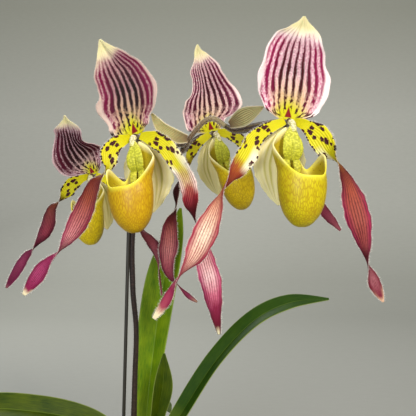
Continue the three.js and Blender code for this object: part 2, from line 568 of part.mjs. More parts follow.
function pot() {
  const shoulder = POT_HEIGHT - POT_RIM_HEIGHT;
  const profile = [
    [0, 0], [POT_FOOT_RADIUS - 1, 0], [POT_FOOT_RADIUS, 1], [POT_NECK_RADIUS, shoulder],
    [POT_RIM_RADIUS - 1, shoulder], [POT_RIM_RADIUS, shoulder + 1], [POT_RIM_RADIUS, POT_HEIGHT - 1],
    [POT_RIM_RADIUS - 1, POT_HEIGHT], [POT_NECK_RADIUS, POT_HEIGHT],
    [POT_NECK_RADIUS - POT_WALL, shoulder - POT_WALL], [POT_FOOT_RADIUS - POT_WALL, POT_WALL], [0, POT_WALL],
  ].map(([radius, z]) => new THREE.Vector2(radius, z));
  const body = new THREE.LatheGeometry(profile, POT_SIDES);
  body.rotateX(Math.PI / 2);
  let solid = toSolid(faceOut(body));
  for (let i = 0; i < DRAIN_COUNT; i += 1) {
    const slot = new THREE.BoxGeometry(...DRAIN_SIZE);
    slot.translate(POT_FOOT_RADIUS, 0, 0);
    slot.rotateZ(2 * Math.PI * (i + 0.5) / DRAIN_COUNT);
    solid = solid.subtract(toSolid(slot));
  }
  return fromSolid(solid);
}
add(group, 'pot', pot(), LOOKS.pot);

function barkHeight(x, y) {
  const across = Math.sin(Math.PI * (x + BARK_SWAY[0] * Math.sin(y / BARK_SWAY_LENGTH[0])) / BARK_CHIP);
  const along = Math.cos(Math.PI * (y + BARK_SWAY[1] * Math.sin(x / BARK_SWAY_LENGTH[1])) / BARK_CHIP);
  return BARK_LEVEL + BARK_RELIEF * (Math.abs(across * along) * 2 - 1);
}

function bark() {
  const ringAt = (radius, z) => Array.from({ length: POT_SIDES }, (_, j) => {
    const turn = 2 * Math.PI * j / POT_SIDES;
    const [x, y] = [radius * Math.cos(turn), radius * Math.sin(turn)];
    return new THREE.Vector3(x, y, z ?? barkHeight(x, y));
  });
  const inset = POT_WALL + 3 * CLEARANCE;
  const sideEnds = [POT_WALL + CLEARANCE, BARK_LEVEL - BARK_SHOULDER];
  const rings = sideEnds.map((z) => ringAt(potRadius(z) - inset, z));
  const edge = POT_NECK_RADIUS - POT_WALL - 2 * CLEARANCE;
  for (let i = 0; i < BARK_RINGS; i += 1) {
    rings.push(ringAt(edge * (1 - i / BARK_RINGS)));
  }
  const stakeHole = toSolid(stem(stakeRows(STAKE_RADIUS + CLEARANCE, CLEARANCE), 1, STAKE_SIDES));
  return fromSolid(toSolid(loft(rings)).subtract(stakeHole.add(crown(CLEARANCE))));
}
add(group, 'bark', bark(), LOOKS.bark);

export default group;
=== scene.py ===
# %% [markdown]
# # A slipper orchid in its pot
#
# Four blooms stand on one hairy stem above a fan of strap leaves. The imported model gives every
# organ its place and size as a plain, thin solid. This script builds the same organs again with
# many more faces, gives them veins, spots, hairs and a living finish, and lights them softly.
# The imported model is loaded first, because everything else is placed by it.

import bpy
import numpy as np
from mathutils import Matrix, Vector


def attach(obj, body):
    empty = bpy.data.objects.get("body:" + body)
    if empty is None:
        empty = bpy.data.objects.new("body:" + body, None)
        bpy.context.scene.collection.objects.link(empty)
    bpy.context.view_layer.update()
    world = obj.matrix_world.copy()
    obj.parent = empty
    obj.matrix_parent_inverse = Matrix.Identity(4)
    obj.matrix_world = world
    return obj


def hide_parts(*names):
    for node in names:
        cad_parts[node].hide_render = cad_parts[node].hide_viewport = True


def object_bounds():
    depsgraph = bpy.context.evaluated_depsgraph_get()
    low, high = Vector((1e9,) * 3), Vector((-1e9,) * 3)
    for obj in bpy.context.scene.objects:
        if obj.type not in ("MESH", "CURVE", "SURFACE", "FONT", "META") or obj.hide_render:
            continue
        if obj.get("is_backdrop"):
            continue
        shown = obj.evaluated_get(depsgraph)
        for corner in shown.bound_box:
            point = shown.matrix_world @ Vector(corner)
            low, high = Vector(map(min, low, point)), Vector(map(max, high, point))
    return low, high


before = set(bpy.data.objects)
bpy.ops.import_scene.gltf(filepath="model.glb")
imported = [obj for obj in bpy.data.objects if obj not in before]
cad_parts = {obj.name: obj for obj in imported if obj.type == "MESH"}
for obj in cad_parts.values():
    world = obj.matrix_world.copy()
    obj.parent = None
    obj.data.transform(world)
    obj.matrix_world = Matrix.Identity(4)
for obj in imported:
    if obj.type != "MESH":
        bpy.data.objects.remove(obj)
cad_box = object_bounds()
print("nodes in the frame:", len(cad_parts))
print("CAD box:", [round(x, 4) for corner in cad_box for x in corner])

# %% [markdown]
# Blender works in metres, but a flower is easier to write down in millimetres. All the shapes
# below are numpy arrays in millimetres, and one helper turns them into a mesh in metres, gives
# it its finish and hangs it on the frame. Numbers that a finish needs, such as how far along a
# petal a point lies, are stored on the mesh's points, where the shader can read them by name.

# %% From numbers to pieces
MM = 0.001


def unit(vectors):
    return vectors / np.maximum(np.linalg.norm(vectors, axis=-1, keepdims=True), 1e-9)


def piece(name, points, faces, finish, replaces=None, marks=None, smooth=True):
    """A mesh of the object, from points in millimetres, that rides on the plant's one body."""
    mesh = bpy.data.meshes.new(name)
    mesh.from_pydata((np.asarray(points) * MM).tolist(), [], faces)
    mesh.polygons.foreach_set("use_smooth", [smooth] * len(mesh.polygons))
    for mark, values in (marks or {}).items():
        attribute = mesh.attributes.new(mark, "FLOAT", "POINT")
        attribute.data.foreach_set("value", np.asarray(values, np.float32).ravel())
    mesh.materials.append(finish)
    mesh.validate()
    made = bpy.data.objects.new(name, mesh)
    bpy.context.scene.collection.objects.link(made)
    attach(made, "root")
    if replaces:
        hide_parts(replaces)
    return made


# %% [markdown]
# A grid of points is the base of nearly every organ. These two helpers number its faces: as an
# open sheet, or closed into a tube along its second direction.

# %% Faces of a grid
def grid_faces(rows, columns, first=0, closed=False, flip=False):
    i, j = np.meshgrid(np.arange(rows - 1), np.arange(columns - (not closed)), indexing="ij")
    i, j = i.ravel(), j.ravel()
    k = (j + 1) % columns
    corners = [i * columns + j, (i + 1) * columns + j, (i + 1) * columns + k, i * columns + k]
    faces = np.stack(corners[::-1] if flip else corners, axis=1) + first
    return faces.tolist()


def tube(rings):
    """A closed body through rings of points, with a fan at each end."""
    count, sides, _ = rings.shape
    hubs = [rings[0].mean(axis=0), rings[-1].mean(axis=0)]
    points = np.concatenate([rings.reshape(-1, 3), hubs])
    faces = grid_faces(count, sides, closed=True, flip=True)
    last = (count - 1) * sides
    for j in range(sides):
        k = (j + 1) % sides
        faces.append([count * sides, j, k])
        faces.append([count * sides + 1, last + k, last + j])
    return points, faces


# %% [markdown]
# The camera stands level with the blooms, a forearm's length away, with a short portrait lens.
# It comes early, so that every later step can be looked at.

# %% Camera
CAMERA_AT = (0.040, -0.365, 0.255)
LENS_MM = 47.0
SENSOR_MM = 36.0

camera_data = bpy.data.cameras.new("camera")
camera_data.lens = LENS_MM
camera_data.sensor_width = SENSOR_MM
camera_data.clip_start = 0.01
camera = bpy.data.objects.new("camera", camera_data)
camera.location = CAMERA_AT
camera.rotation_euler = (np.pi / 2, 0, 0)
bpy.context.scene.collection.objects.link(camera)
bpy.context.scene.camera = camera
print("camera at", CAMERA_AT, "with a lens of", LENS_MM, "mm")

# %% [markdown]
# Finishes are node trees. Colours are picked as sRGB hex, as a painter would read them, and one
# function turns them to the linear values that the shader works in. One more small function adds
# a node with its settings and links; everything else is a recipe written with it.

# %% Colours and nodes
def linear(hex_colour):
    s = np.array([int(hex_colour[i:i + 2], 16) for i in (1, 3, 5)]) / 255
    rgb = np.where(s <= 0.04045, s / 12.92, ((s + 0.055) / 1.055) ** 2.4)
    return (*rgb.tolist(), 1.0)


def new_finish(name):
    """A new material, and the function that adds a node to it."""
    material = bpy.data.materials.new(name)
    material.use_nodes = True
    tree = material.node_tree

    def put(kind, *values, out=0, stops=None, named=None, **settings):
        """Adds a node. A kind in capitals is a sum, and one in small letters is a mark on the mesh."""
        if kind == "MULTIPLY" and len(values) > 2:
            values = put(kind, *values[:-1]), values[-1]
        if kind.isupper():
            kind, settings["operation"] = "Math", kind
        elif kind.islower():
            kind, out, settings["attribute_name"] = "Attribute", "Fac", kind
        made = tree.nodes.new("ShaderNode" + kind)
        for key, value in settings.items():
            setattr(made, key, value)
        if stops:
            elements = made.color_ramp.elements
            elements[0].position = stops[0][0]
            elements[1].position = stops[-1][0]
            for place, _ in stops[1:-1]:
                elements.new(place)
            for element, (_, colour) in zip(elements, stops):
                element.color = linear(colour) if isinstance(colour, str) else (colour,) * 3 + (1,)
        for socket, value in [*enumerate(values), *(named or {}).items()]:
            if isinstance(value, str):
                value = linear(value)
            if isinstance(value, bpy.types.NodeSocket):
                tree.links.new(value, made.inputs[socket])
            elif value is not None:
                made.inputs[socket].default_value = value
        return made.outputs[out]

    return material, put


def dress(material, **sockets):
    """Sets or links the main shader's sockets, named with _ for a space."""
    shader = material.node_tree.nodes["Principled BSDF"]
    for name, value in sockets.items():
        socket = shader.inputs[name.replace("_", " ")]
        if isinstance(value, bpy.types.NodeSocket):
            material.node_tree.links.new(value, socket)
        else:
            socket.default_value = value
    return material


# %% [markdown]
# The stage is a studio sweep: one sheet of paper that runs from the floor up into a wall. A
# floor and a wall would meet in a line, and a curve between them has none. The wall stands 1.5 m
# behind the plant, which leaves room for a camera there.

# %% Shape of the sweep
SWEEP_WIDTH = 12000         # millimetres, as in all the shapes here
SWEEP_FRONT, SWEEP_BACK = -2600, 1500
SWEEP_CURVE = 600
SWEEP_TOP = 3000

turn = np.linspace(0, np.pi / 2, 24)
sweep_y = np.concatenate([[SWEEP_FRONT], SWEEP_BACK + SWEEP_CURVE * (np.sin(turn) - 1), [SWEEP_BACK]])
sweep_z = np.concatenate([[0], SWEEP_CURVE * (1 - np.cos(turn)), [SWEEP_TOP]])
sides_x = np.array([-SWEEP_WIDTH / 2, SWEEP_WIDTH / 2])
sweep_points = np.stack([
    np.tile(sides_x, len(sweep_y)), np.repeat(sweep_y, 2), np.repeat(sweep_z, 2)], axis=1)

steps = np.hypot(np.diff(sweep_y), np.diff(sweep_z))
sweep_along = np.repeat(np.concatenate([[0], np.cumsum(steps)]), 2) / steps.sum()
print("the plant stands at", round(-SWEEP_FRONT / steps.sum(), 3), "of the paper's length")

# %% [markdown]
# Uncoated paper scatters the light that falls on it, so it is very rough and shows no highlight.
# It is one grey under any lamp. Its tone is graded along its length, and that grade is painted light
# and shade: lightest in the curve, darker towards the front of the floor and high up the wall.
# Its fibres are far too fine to show. The flecks drawn for them are half a centimetre to two
# centimetres wide, and they only break up the even tone a little.

# %% Stage
paper, put = new_finish("studio_paper_with_painted_shade")
# Painted light and shade: the grey is lightest in the curve and darker towards the front and up the wall.
tone = put("ValToRGB", put("along"), stops=[
    (0.38, "#8b8c87"), (0.45, "#94958f"), (0.548, "#9c9d95"), (0.60, "#b2b3ab"), (0.645, "#b8b9b1"),
    (0.70, "#9c9d92"), (0.80, "#8d8e85")])
fibre = put("MapRange", put("TexNoise", named={"Scale": 700.0, "Detail": 2.0}), 0.3, 0.7, 0.0, 0.08)
dress(paper, Base_Color=put("MixRGB", fibre, tone, "#7d7d77"), Roughness=0.95, Specular_IOR_Level=0.2)

sweep_mesh = bpy.data.meshes.new("sweep")
sweep_mesh.from_pydata((sweep_points * MM).tolist(), [], grid_faces(len(sweep_y), 2))
sweep_mesh.polygons.foreach_set("use_smooth", [True] * len(sweep_mesh.polygons))
sweep_mesh.attributes.new("along", "FLOAT", "POINT").data.foreach_set("value", sweep_along)
sweep_mesh.materials.append(paper)
sweep = bpy.data.objects.new("sweep", sweep_mesh)
bpy.context.scene.collection.objects.link(sweep)
sweep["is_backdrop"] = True
print("sweep:", len(sweep_mesh.polygons), "faces")

# %% [markdown]
# Four soft lamps. The key comes from the upper right in front and shapes the blooms. A weaker
# fill stands low at the left in front and reaches under the hanging petals. A rim lamp behind
# draws the thin bright line on hairs and margins, and the last one washes the wall. Point lamps
# would throw hard shadows, and area lamps give the soft ones of a studio. The world adds a
# little even light, as the walls of a room would.

# %% Lights
def lamp(name, place, aim, size, watts, colour="#ffffff"):
    data = bpy.data.lights.new(name, "AREA")
    data.size = size
    data.energy = watts
    data.color = linear(colour)[:3]
    made = bpy.data.objects.new(name, data)
    made.location = place
    direction = np.array(aim) - np.array(place)
    made.rotation_euler = (np.arccos(-direction[2] / np.linalg.norm(direction)), 0,
                           np.arctan2(direction[1], direction[0]) - np.pi / 2)
    bpy.context.scene.collection.objects.link(made)


BLOOMS_CENTRE = (0.02, -0.02, 0.28)
lamp("key", (0.60, -1.05, 0.95), BLOOMS_CENTRE, size=0.35, watts=16.5, colour="#fff6ea")
lamp("fill", (-0.40, -1.45, 0.42), BLOOMS_CENTRE, size=0.5, watts=12, colour="#f4f6ff")
lamp("rim", (-0.45, 0.85, 0.95), BLOOMS_CENTRE, size=0.5, watts=9)
lamp("wall_wash", (0.1, 0.2, 1.9), aim=(0.2, 1.3, 0.2), size=1.2, watts=9)

world = bpy.data.worlds.new("room")
world.use_nodes = True
world.node_tree.nodes["Background"].inputs["Color"].default_value = linear("#dfe2e2")
world.node_tree.nodes["Background"].inputs["Strength"].default_value = 0.5
bpy.context.scene.world = world
bpy.context.scene.view_settings.view_transform = "Standard"
print("lamps:", len(bpy.data.lights))

# %% [markdown]
# Every organ that is a blade, such as a petal, a sepal or a leaf, is written as a short list of
# rows along its midrib. A smooth curve runs through the rows, and the blade is swept along it:
# each row says where the midrib is, how wide the blade is on either side, how far its face has
# turned, and how deeply it is cupped. Real petals twist just like this as they grow.

# %% Sweeping a blade
FACING = np.array([0.0, -1.0, 0.0])     # an unturned blade faces the front
REACH = 0.01                # how far to either side a curve's direction is measured
NARROWEST = 0.25            # half width of a tip, so that it never closes to nothing
WAVE_LAG = 1.3              # the two margins don't wave in step


def row_at(rows, part):
    """Rows part of the way along a list of rows, on a Catmull-Rom curve."""
    rows = np.asarray(rows, float)
    last = len(rows) - 1
    place = np.clip(part, 0, 1) * last
    i = np.minimum(place.astype(int), last - 1)
    f = (place - i)[:, None]
    p, q, r, s = rows[np.maximum(i - 1, 0)], rows[i], rows[i + 1], rows[np.minimum(i + 2, last)]
    return 0.5 * (2 * q + (r - p) * f + (2 * p - 5 * q + 4 * r - s) * f**2
                  + (3 * q - p - 3 * r + s) * f**3)


def run_at(rows, part):
    return unit(row_at(rows, part + REACH)[:, :3] - row_at(rows, part - REACH)[:, :3])


def sweep_blade(rows, along, across, wave=0.0, waves=3, keel=False, frill=0.0, frills=7):
    """The middle surface of a blade, as a grid of points with its places along and across."""
    part = np.linspace(0, 1, along + 1)
    v = np.linspace(-1, 1, across + 1)[None, :]
    row = row_at(rows, part)
    run = run_at(rows, part)
    face = unit(FACING - (run @ FACING)[:, None] * run)
    turn = -np.radians(row[:, 5:6])
    face = face * np.cos(turn) + np.cross(run, face) * np.sin(turn)
    side = np.cross(face, run)
    bend = np.radians(row[:, 6:7])
    bend = np.where(np.abs(bend) < 1e-6, 1e-6, bend)
    width = np.maximum(np.where(v > 0, row[:, 3:4], row[:, 4:5]), NARROWEST)
    beat = 2 * np.pi * part[:, None] + np.where(v > 0, 0.4, 2.0)
    width = width * (1 + frill * v**6 * (np.sin(frills * beat) + 0.6 * np.sin(2.3 * frills * beat)))
    out = v * np.cos(bend) if keel else np.sin(bend * v) / bend
    up = np.abs(v) * np.sin(bend) if keel else (1 - np.cos(bend * v)) / bend
    phase = 2 * np.pi * waves * part[:, None] + np.where(v > 0, 0, WAVE_LAG)
    up = up + wave * np.abs(v) ** 3 * np.sin(phase)
    grid = (row[:, None, :3] + side[:, None, :] * (width * out)[..., None]
            + face[:, None, :] * (width * up)[..., None])
    step = np.linalg.norm(np.diff(row[:, :3], axis=0), axis=1)
    length = np.concatenate([[0], np.cumsum(step)])
    shape = (along + 1, across + 1)
    return {
        "grid": grid,
        "across": np.broadcast_to(v, shape),
        "along": np.broadcast_to(length[:, None] / length[-1], shape),
        "mm_across": v * width,
        "mm_along": np.broadcast_to(length[:, None], shape),
    }


def normals(grid):
    return unit(np.cross(np.gradient(grid, axis=0), np.gradient(grid, axis=1)))


# %% [markdown]
# A blade gets its thickness last: the middle surface is pushed out to both sides along its
# normal. The margin is thinner than the middle, as on a real petal, and a relief can raise veins
# or sink a groove, differently on the two faces.

# %% Thickness
MARKS = ("across", "along", "mm_across", "mm_along")


def thicken(blade, thick, margin=0.35, relief=None, power=4):
    """Points, faces and marks of a closed blade. margin is the edge's share of the thickness."""
    grid, v = blade["grid"], blade["across"]
    half = thick / 2 * (margin + (1 - margin) * (1 - np.abs(v) ** power))
    raised = relief(blade) if relief else np.zeros(v.shape)
    normal = normals(grid)
    layers = [grid + normal * (half + raised)[..., None], grid - normal * (half - raised)[..., None]]
    rows, columns = v.shape
    count = rows * columns
    faces = grid_faces(rows, columns) + grid_faces(rows, columns, first=count, flip=True)
    end, side = rows - 1, columns - 1
    edge = ([(i, 0) for i in range(end)] + [(end, j) for j in range(side)]
            + [(i, side) for i in range(end, 0, -1)] + [(0, j) for j in range(side, 0, -1)])
    for (i, j), (m, n) in zip(edge, edge[1:] + edge[:1]):
        a, b = i * columns + j, m * columns + n
        faces.append([a, a + count, b + count, b])
    marks = {mark: np.concatenate([blade[mark].ravel()] * 2) for mark in MARKS}
    marks["under"] = np.repeat([0.0, 1.0], count)
    return np.concatenate([layer.reshape(-1, 3) for layer in layers]), faces, marks


# %% [markdown]
# Slipper orchids are hairy. A render hair system would be lost when the model is handed on, so
# each hair is a real, very thin cone with three sides. One function plants any number of them
# from arrays of roots and directions. Real hairs are about 0.03 mm thick. These are drawn a few
# times thicker at the foot, so that they show.

# %% Hairs
def plant_hairs(name, roots, directions, length, radius, finish, seed, spread=0.35):
    rng = np.random.default_rng(seed)
    count = len(roots)
    way = unit(directions + spread * rng.normal(size=(count, 3)))
    side = unit(np.cross(way, rng.normal(size=(count, 3))))
    other = np.cross(way, side)
    long = length * rng.uniform(0.6, 1.15, size=(count, 1))
    angles = 2 * np.pi * np.arange(3) / 3
    feet = [roots + radius * (side * np.cos(a) + other * np.sin(a)) for a in angles]
    points = np.stack([*feet, roots + way * long], axis=1).reshape(-1, 3)
    first = 4 * np.arange(count)[:, None, None]
    faces = (first + np.array([[0, 1, 3], [1, 2, 3], [2, 0, 3], [2, 1, 0]])).reshape(-1, 3)
    along = np.tile([0.0, 0.0, 0.0, 1.0], count)
    return piece(name, points, faces.tolist(), finish, marks={"along": along})


def margin_roots(blade, spacing, start=0.0, end=1.0, seed=0):
    """Places on both margins of a blade, and the way that a hair leaves each of them."""
    rng = np.random.default_rng(seed)
    roots, ways = [], []
    for edge, inner in ((0, 2), (-1, -3)):
        line, inside = blade["grid"][:, edge], blade["grid"][:, inner]
        length = np.concatenate([[0], np.cumsum(np.linalg.norm(np.diff(line, axis=0), axis=1))])
        count = int(length[-1] * (end - start) / spacing)
        at = np.sort(rng.uniform(start, end, count)) * length[-1]
        there = np.stack([np.interp(at, length, line[:, k]) for k in range(3)], axis=1)
        within = np.stack([np.interp(at, length, inside[:, k]) for k in range(3)], axis=1)
        roots.append(there)
        ways.append(unit(there - within))
    return np.concatenate(roots), np.concatenate(ways)


# %% [markdown]
# A plant hair is a row of clear, empty cells. Glass would be the exact choice, but thousands of
# glass cones are slow and noisy, so the pale ones are white with a share of light that passes
# into them, which makes them glow against a dark petal. The maroon ones of the stem are opaque.
# Both are paler at the tip.

# %% Finishes of the hairs
hair_white, put = new_finish("pale_plant_hair")
dress(hair_white, Base_Color=put("MixRGB", put("along"), "#e6d9cf", "#fbf6ee"), Roughness=0.45,
      Subsurface_Weight=0.2)
hair_dark, put = new_finish("maroon_plant_hair")
dress(hair_dark, Base_Color=put("MixRGB", put("along"), "#2a1216", "#6d4a44"), Roughness=0.5)
print("hair finishes:", hair_white.name, "and", hair_dark.name)

# %% [markdown]
# The plan of the plant. Each bloom has its place on the plant, the way that it faces, and the
# rows of its organs, in millimetres. They are the same rows as the plain solids were made from,
# so the finer pieces lie exactly where the plain ones do. A dorsal sepal's row is x, y, z and
# the half width at the left and at the right. A petal's and a bract's is x, y, z, half width and
# turn in degrees. A stalk's is x, y, z and radius.

# %% Plan of the blooms
BLOOMS = [
    dict(
        name="bloom_1", at=(-47, 41, 279), turn=-15, roll=-8, size=0.88, broad=1, shield=0.85,
        sides=(0.75, 1), roots=(3.2, 3.2), look="dusky",
        dorsal=[
            (0, 2.8, 1, 5, 5), (-1, 2.4, 5.5, 7.5, 10), (-3, 1, 10, 18, 15.5),
            (-5, -1.5, 14.5, 21, 18.5), (-6.3, -4.5, 18.5, 20.5, 18), (-7, -8, 22.5, 18, 14),
            (-6.8, -11.5, 26.5, 14, 10.6), (-6, -15, 30, 11, 11.5), (-5, -18, 34, 10, 11.4),
            (-4.2, -20.5, 38, 4.6, 6.6), (-3.6, -22, 40.3, 2, 2.5), (-3.2, -23.5, 42.6, 0.6, 0.6)],
        left=[
            (-6, -3, -2, 2.8, 0), (-12, -6, -5.8, 4.8, 5), (-16.5, -7, -11.5, 4.8, 20),
            (-20.5, -7.5, -17, 2.6, 70), (-23.5, -8, -20.5, 3, 115), (-27.8, -8, -25, 4.6, 155),
            (-30.2, -8, -36, 5.2, 175), (-34, -8, -44.5, 4, 205), (-39.3, -8, -51.8, 2.4, 260),
            (-43, -8, -56.5, 3.6, 305), (-47.5, -8, -62, 4.5, 330), (-53.5, -8, -71, 3.9, 345),
            (-60.8, -8, -82.6, 0.8, 360)],
        right=[
            (16, -4, -6, 3.5, 0), (29, -12, -21, 3.4, -30), (39, -24, -36, 2.4, -90),
            (44.5, -34, -42.5, 3, -140), (50.5, -39, -49.5, 3.6, -180),
            (53, -41, -57.5, 2.4, -230), (54, -42, -66, 1.8, -270), (56, -42, -82.5, 0.6, -320)],
        stalk=[(-5, -17, 252, 1.5), (-4, 4, 262, 1.5), (-13, 36, 273, 1.8), (-30, 53, 276.5, 2.1)],
        bract=[(-8.4, -17, 253, 2, 0), (-11, -8, 262, 5, 0), (-14, 4, 270, 0.6, 0)]),
    dict(
        name="bloom_2", at=(-3, -46, 297), turn=-16, roll=-7, size=0.97, broad=1.02, shield=0.88,
        sides=(0.75, 1.2), roots=(3.2, 3.2), look="dark",
        dorsal=[
            (0, 2.6, 1.2, 6, 6), (-1, 2.6, 5, 14, 9.6), (-1.2, 2.2, 11, 16.9, 12),
            (-1, 1, 18, 20.7, 17.5), (-1, -0.5, 26, 18.2, 18.8), (-2.5, -3, 35, 16.8, 16.2),
            (-5, -5.5, 42, 14.4, 11.8), (-7.8, -8.5, 49, 7.2, 6.5), (-9, -10.5, 53, 3.2, 3.4),
            (-9.6, -12.2, 56.4, 0.6, 0.6)],
        left=[
            (-8.7, -5, -3.9, 4, 5), (-12.8, -7.5, -9, 4.9, 15), (-13.8, -8.5, -14.6, 4.9, 25),
            (-14.2, -9.2, -18.9, 3.4, 60), (-16, -10, -22, 2.8, 95), (-22, -11, -28, 4.4, 150),
            (-25.3, -12, -38, 5.3, 170), (-28.8, -13, -47, 5.8, 180), (-34, -13.5, -57, 4.5, 205),
            (-38.5, -14, -63.5, 2.8, 245), (-42, -14, -68, 2.6, 285), (-47, -14, -73, 4, 320),
            (-52, -14, -79, 4.9, 340), (-60.8, -13, -91, 1, 360)],
        right=[
            (12.5, -5, -2.6, 4.8, 0), (19.5, -6.5, -7.8, 5, -8), (24.9, -7, -15.2, 5.2, -15),
            (29.4, -7, -22.3, 5.2, -22), (32.3, -7, -30.5, 5.6, -30), (33.8, -7, -39.5, 5.2, -38),
            (35.5, -6.5, -48, 3, -75), (37, -6, -53, 2.4, -105), (39, -5.5, -62, 4.2, -145),
            (41.2, -5, -72.2, 5.8, -165), (44.2, -4.5, -83, 6.2, -180), (46, -4, -94, 5.3, -190),
            (47.5, -4, -104, 3.3, -195), (49.4, -3, -115.5, 0.8, -200)],
        stalk=[
            (25.3, -24.4, 295, 1.5), (20, -28.5, 294.5, 1.8), (11, -32, 295.5, 2.4),
            (3, -37, 296, 2.4)],
        bract=[
            (27, -26, 298.2, 2.4, 0), (21.8, -30, 298.6, 4, 0), (13.4, -35.5, 302.2, 4.2, 0),
            (9.3, -38, 306.9, 2.8, 0), (6.2, -39, 311.8, 0.6, 0)]),
    dict(
        name="bloom_3", at=(44, 5, 306), turn=28, roll=-16, size=0.93, broad=0.95, shield=1,
        sides=(1, 0.75), roots=(2.9, 3.2), look="purple",
        dorsal=[
            (0, 2.6, 1.2, 6, 6), (0, 2.6, 5, 18, 10), (0, 2.4, 10, 20.7, 15),
            (1, 1.5, 16, 20.3, 24), (1.5, 1, 20.5, 19.2, 24.8), (2, 0.5, 26, 16, 22.4),
            (1.8, -0.6, 32, 11, 18.4), (1.4, -2, 38, 9.6, 14.6), (1, -3.2, 44, 9.9, 11.9),
            (0.4, -4.8, 50, 5, 7.4), (-0.2, -6, 54.5, 3, 3), (-0.2, -7.3, 58.4, 0.6, 0.6)],
        left=[
            (-10.8, -5, -7.8, 3.1, 0), (-15.5, -7, -14.7, 3.2, 15), (-19, -8, -24, 2.6, 60),
            (-25, -8, -39, 3.4, 130), (-25.5, -8, -50.5, 2.2, 90), (-28.8, -8, -60, 4.4, 35),
            (-30.3, -8, -75, 6.3, 10), (-31, -8, -88, 4.6, -10), (-28.7, -8, -97, 3, -40),
            (-24, -7.5, -102.5, 1, -90), (-17.4, -7, -109.5, 1.8, -150),
            (-11.3, -6, -114, 0.6, -180)],
        right=[
            (15, -2, -3, 4, 0), (32, -5, -19.5, 4, -40), (51, -7, -36.5, 3, -90),
            (69, -7, -48.5, 4, -150), (77, -7, -57, 3.4, -165), (84.5, -7, -66, 0.8, -180)],
        stalk=[(17.8, -18.8, 281, 1.5), (17, -8, 284, 1.6), (22, 8, 294, 2), (34, 15, 304, 2.3)],
        bract=[(16.8, -16.5, 284, 2, 0), (13, -11, 293, 5, 0), (12, -2, 302, 0.6, 0)]),
    dict(
        name="bloom_4", at=(85, -65, 303), turn=16, roll=0, size=1, broad=1, shield=1,
        sides=(1.12, 0.75), roots=(2.6, 3.3), look="bright",
        dorsal=[
            (0, 2.6, 1, 6, 6), (0.3, 2.6, 4.5, 13.8, 14.8), (0.6, 2.4, 9, 17.1, 19.3),
            (1.2, 1.4, 16, 20.1, 21.5), (1.5, 0, 24, 21.4, 21.7), (2, -2, 32, 19.7, 18.9),
            (3, -4, 40, 17, 16.1), (4, -5.9, 46, 12.8, 11.6), (4.3, -7.3, 50, 7.4, 7.4),
            (4.4, -8.4, 52.6, 3.2, 3.2), (4.4, -9.4, 55.2, 0.6, 0.6)],
        left=[
            (-12, -3, -4.5, 3.3, 0), (-19.6, -6.5, -10.6, 4.4, 8), (-24.1, -9, -19.4, 5.6, 15),
            (-29.3, -11, -27.1, 5.2, 30), (-33.6, -12, -32.7, 3.6, 60),
            (-37.1, -12.5, -38.3, 3, 95), (-41.3, -13, -48.5, 4.6, 150),
            (-46.5, -14, -61, 6.5, 180), (-51.5, -14, -72, 5.8, 200), (-57, -14, -80, 3.6, 235),
            (-61.3, -14, -86, 2.2, 280), (-66.4, -13, -96, 2.8, 335),
            (-73.7, -12, -106.8, 1, 360)],
        right=[
            (8, -3, -2.7, 3.2, 0), (14.5, -7, -9, 6.1, -12), (19.2, -9, -17, 5.6, -38),
            (24, -9, -22.8, 2.5, -95), (27, -9, -27.5, 3, -140), (30.5, -9, -35, 4.2, -165),
            (33.3, -9, -45, 6.6, -180), (36.3, -9, -56, 6.3, -190), (39, -8, -67, 3.8, -205),
            (40.7, -8, -77, 1.8, -275), (42.4, -8, -83, 2.8, -325), (45.1, -8, -90, 3.6, -350),
            (49.3, -8, -98.5, 0.6, -360)],
        stalk=[
            (51.6, -26.2, 305.6, 1.6), (57, -29, 303, 1.9), (64, -37, 303, 2.4),
            (71, -46, 303, 2.5), (79, -56, 303, 2.4)],
        bract=[(53.5, -31, 306.2, 2.4, 0), (62.5, -38, 310.2, 6, 0), (73, -43, 315, 0.6, 0)]),
]
print("blooms:", [plan["name"] for plan in BLOOMS])

# %% [markdown]
# A bloom's organs are written in its own frame, with the ovary's top in the middle and the face
# to the front. Parenting to an empty would turn them, but every piece hangs on the plant's one
# body, so the points themselves are turned here.

# %% Turning a bloom to its facing
def turned(plan, points):
    """Points of a bloom's own frame, set in the plant: turned to its facing and moved there."""
    roll, turn = np.radians([plan["roll"], plan["turn"]])
    lean = np.array([[np.cos(roll), 0, np.sin(roll)], [0, 1, 0], [-np.sin(roll), 0, np.cos(roll)]])
    spin = np.array([[np.cos(turn), -np.sin(turn), 0], [np.sin(turn), np.cos(turn), 0], [0, 0, 1]])
    return np.asarray(points, float) @ (spin @ lean).T + np.array(plan["at"], float)


print("the first bloom stands at", turned(BLOOMS[0], [0, 0, 0]).tolist(), "mm")

# %% [markdown]
# The dorsal sepal is the striped hood over each bloom. Its tissue is white, flushed with pink,
# and each vein carries a broad stripe that is nearly black low down and magenta higher up. The
# veins fan out from the base and meet again at the tip, so a stripe is simply a place across the
# blade, and one cosine draws all of them. Noise makes them wander, and near the yellow-green
# base they break up into dashes. The margin and the tip stay clear. The tissue is satin: thin
# cells scatter most of the light, so the highlight is weak and broad, and a little light passes
# through the surface and softens the shading.

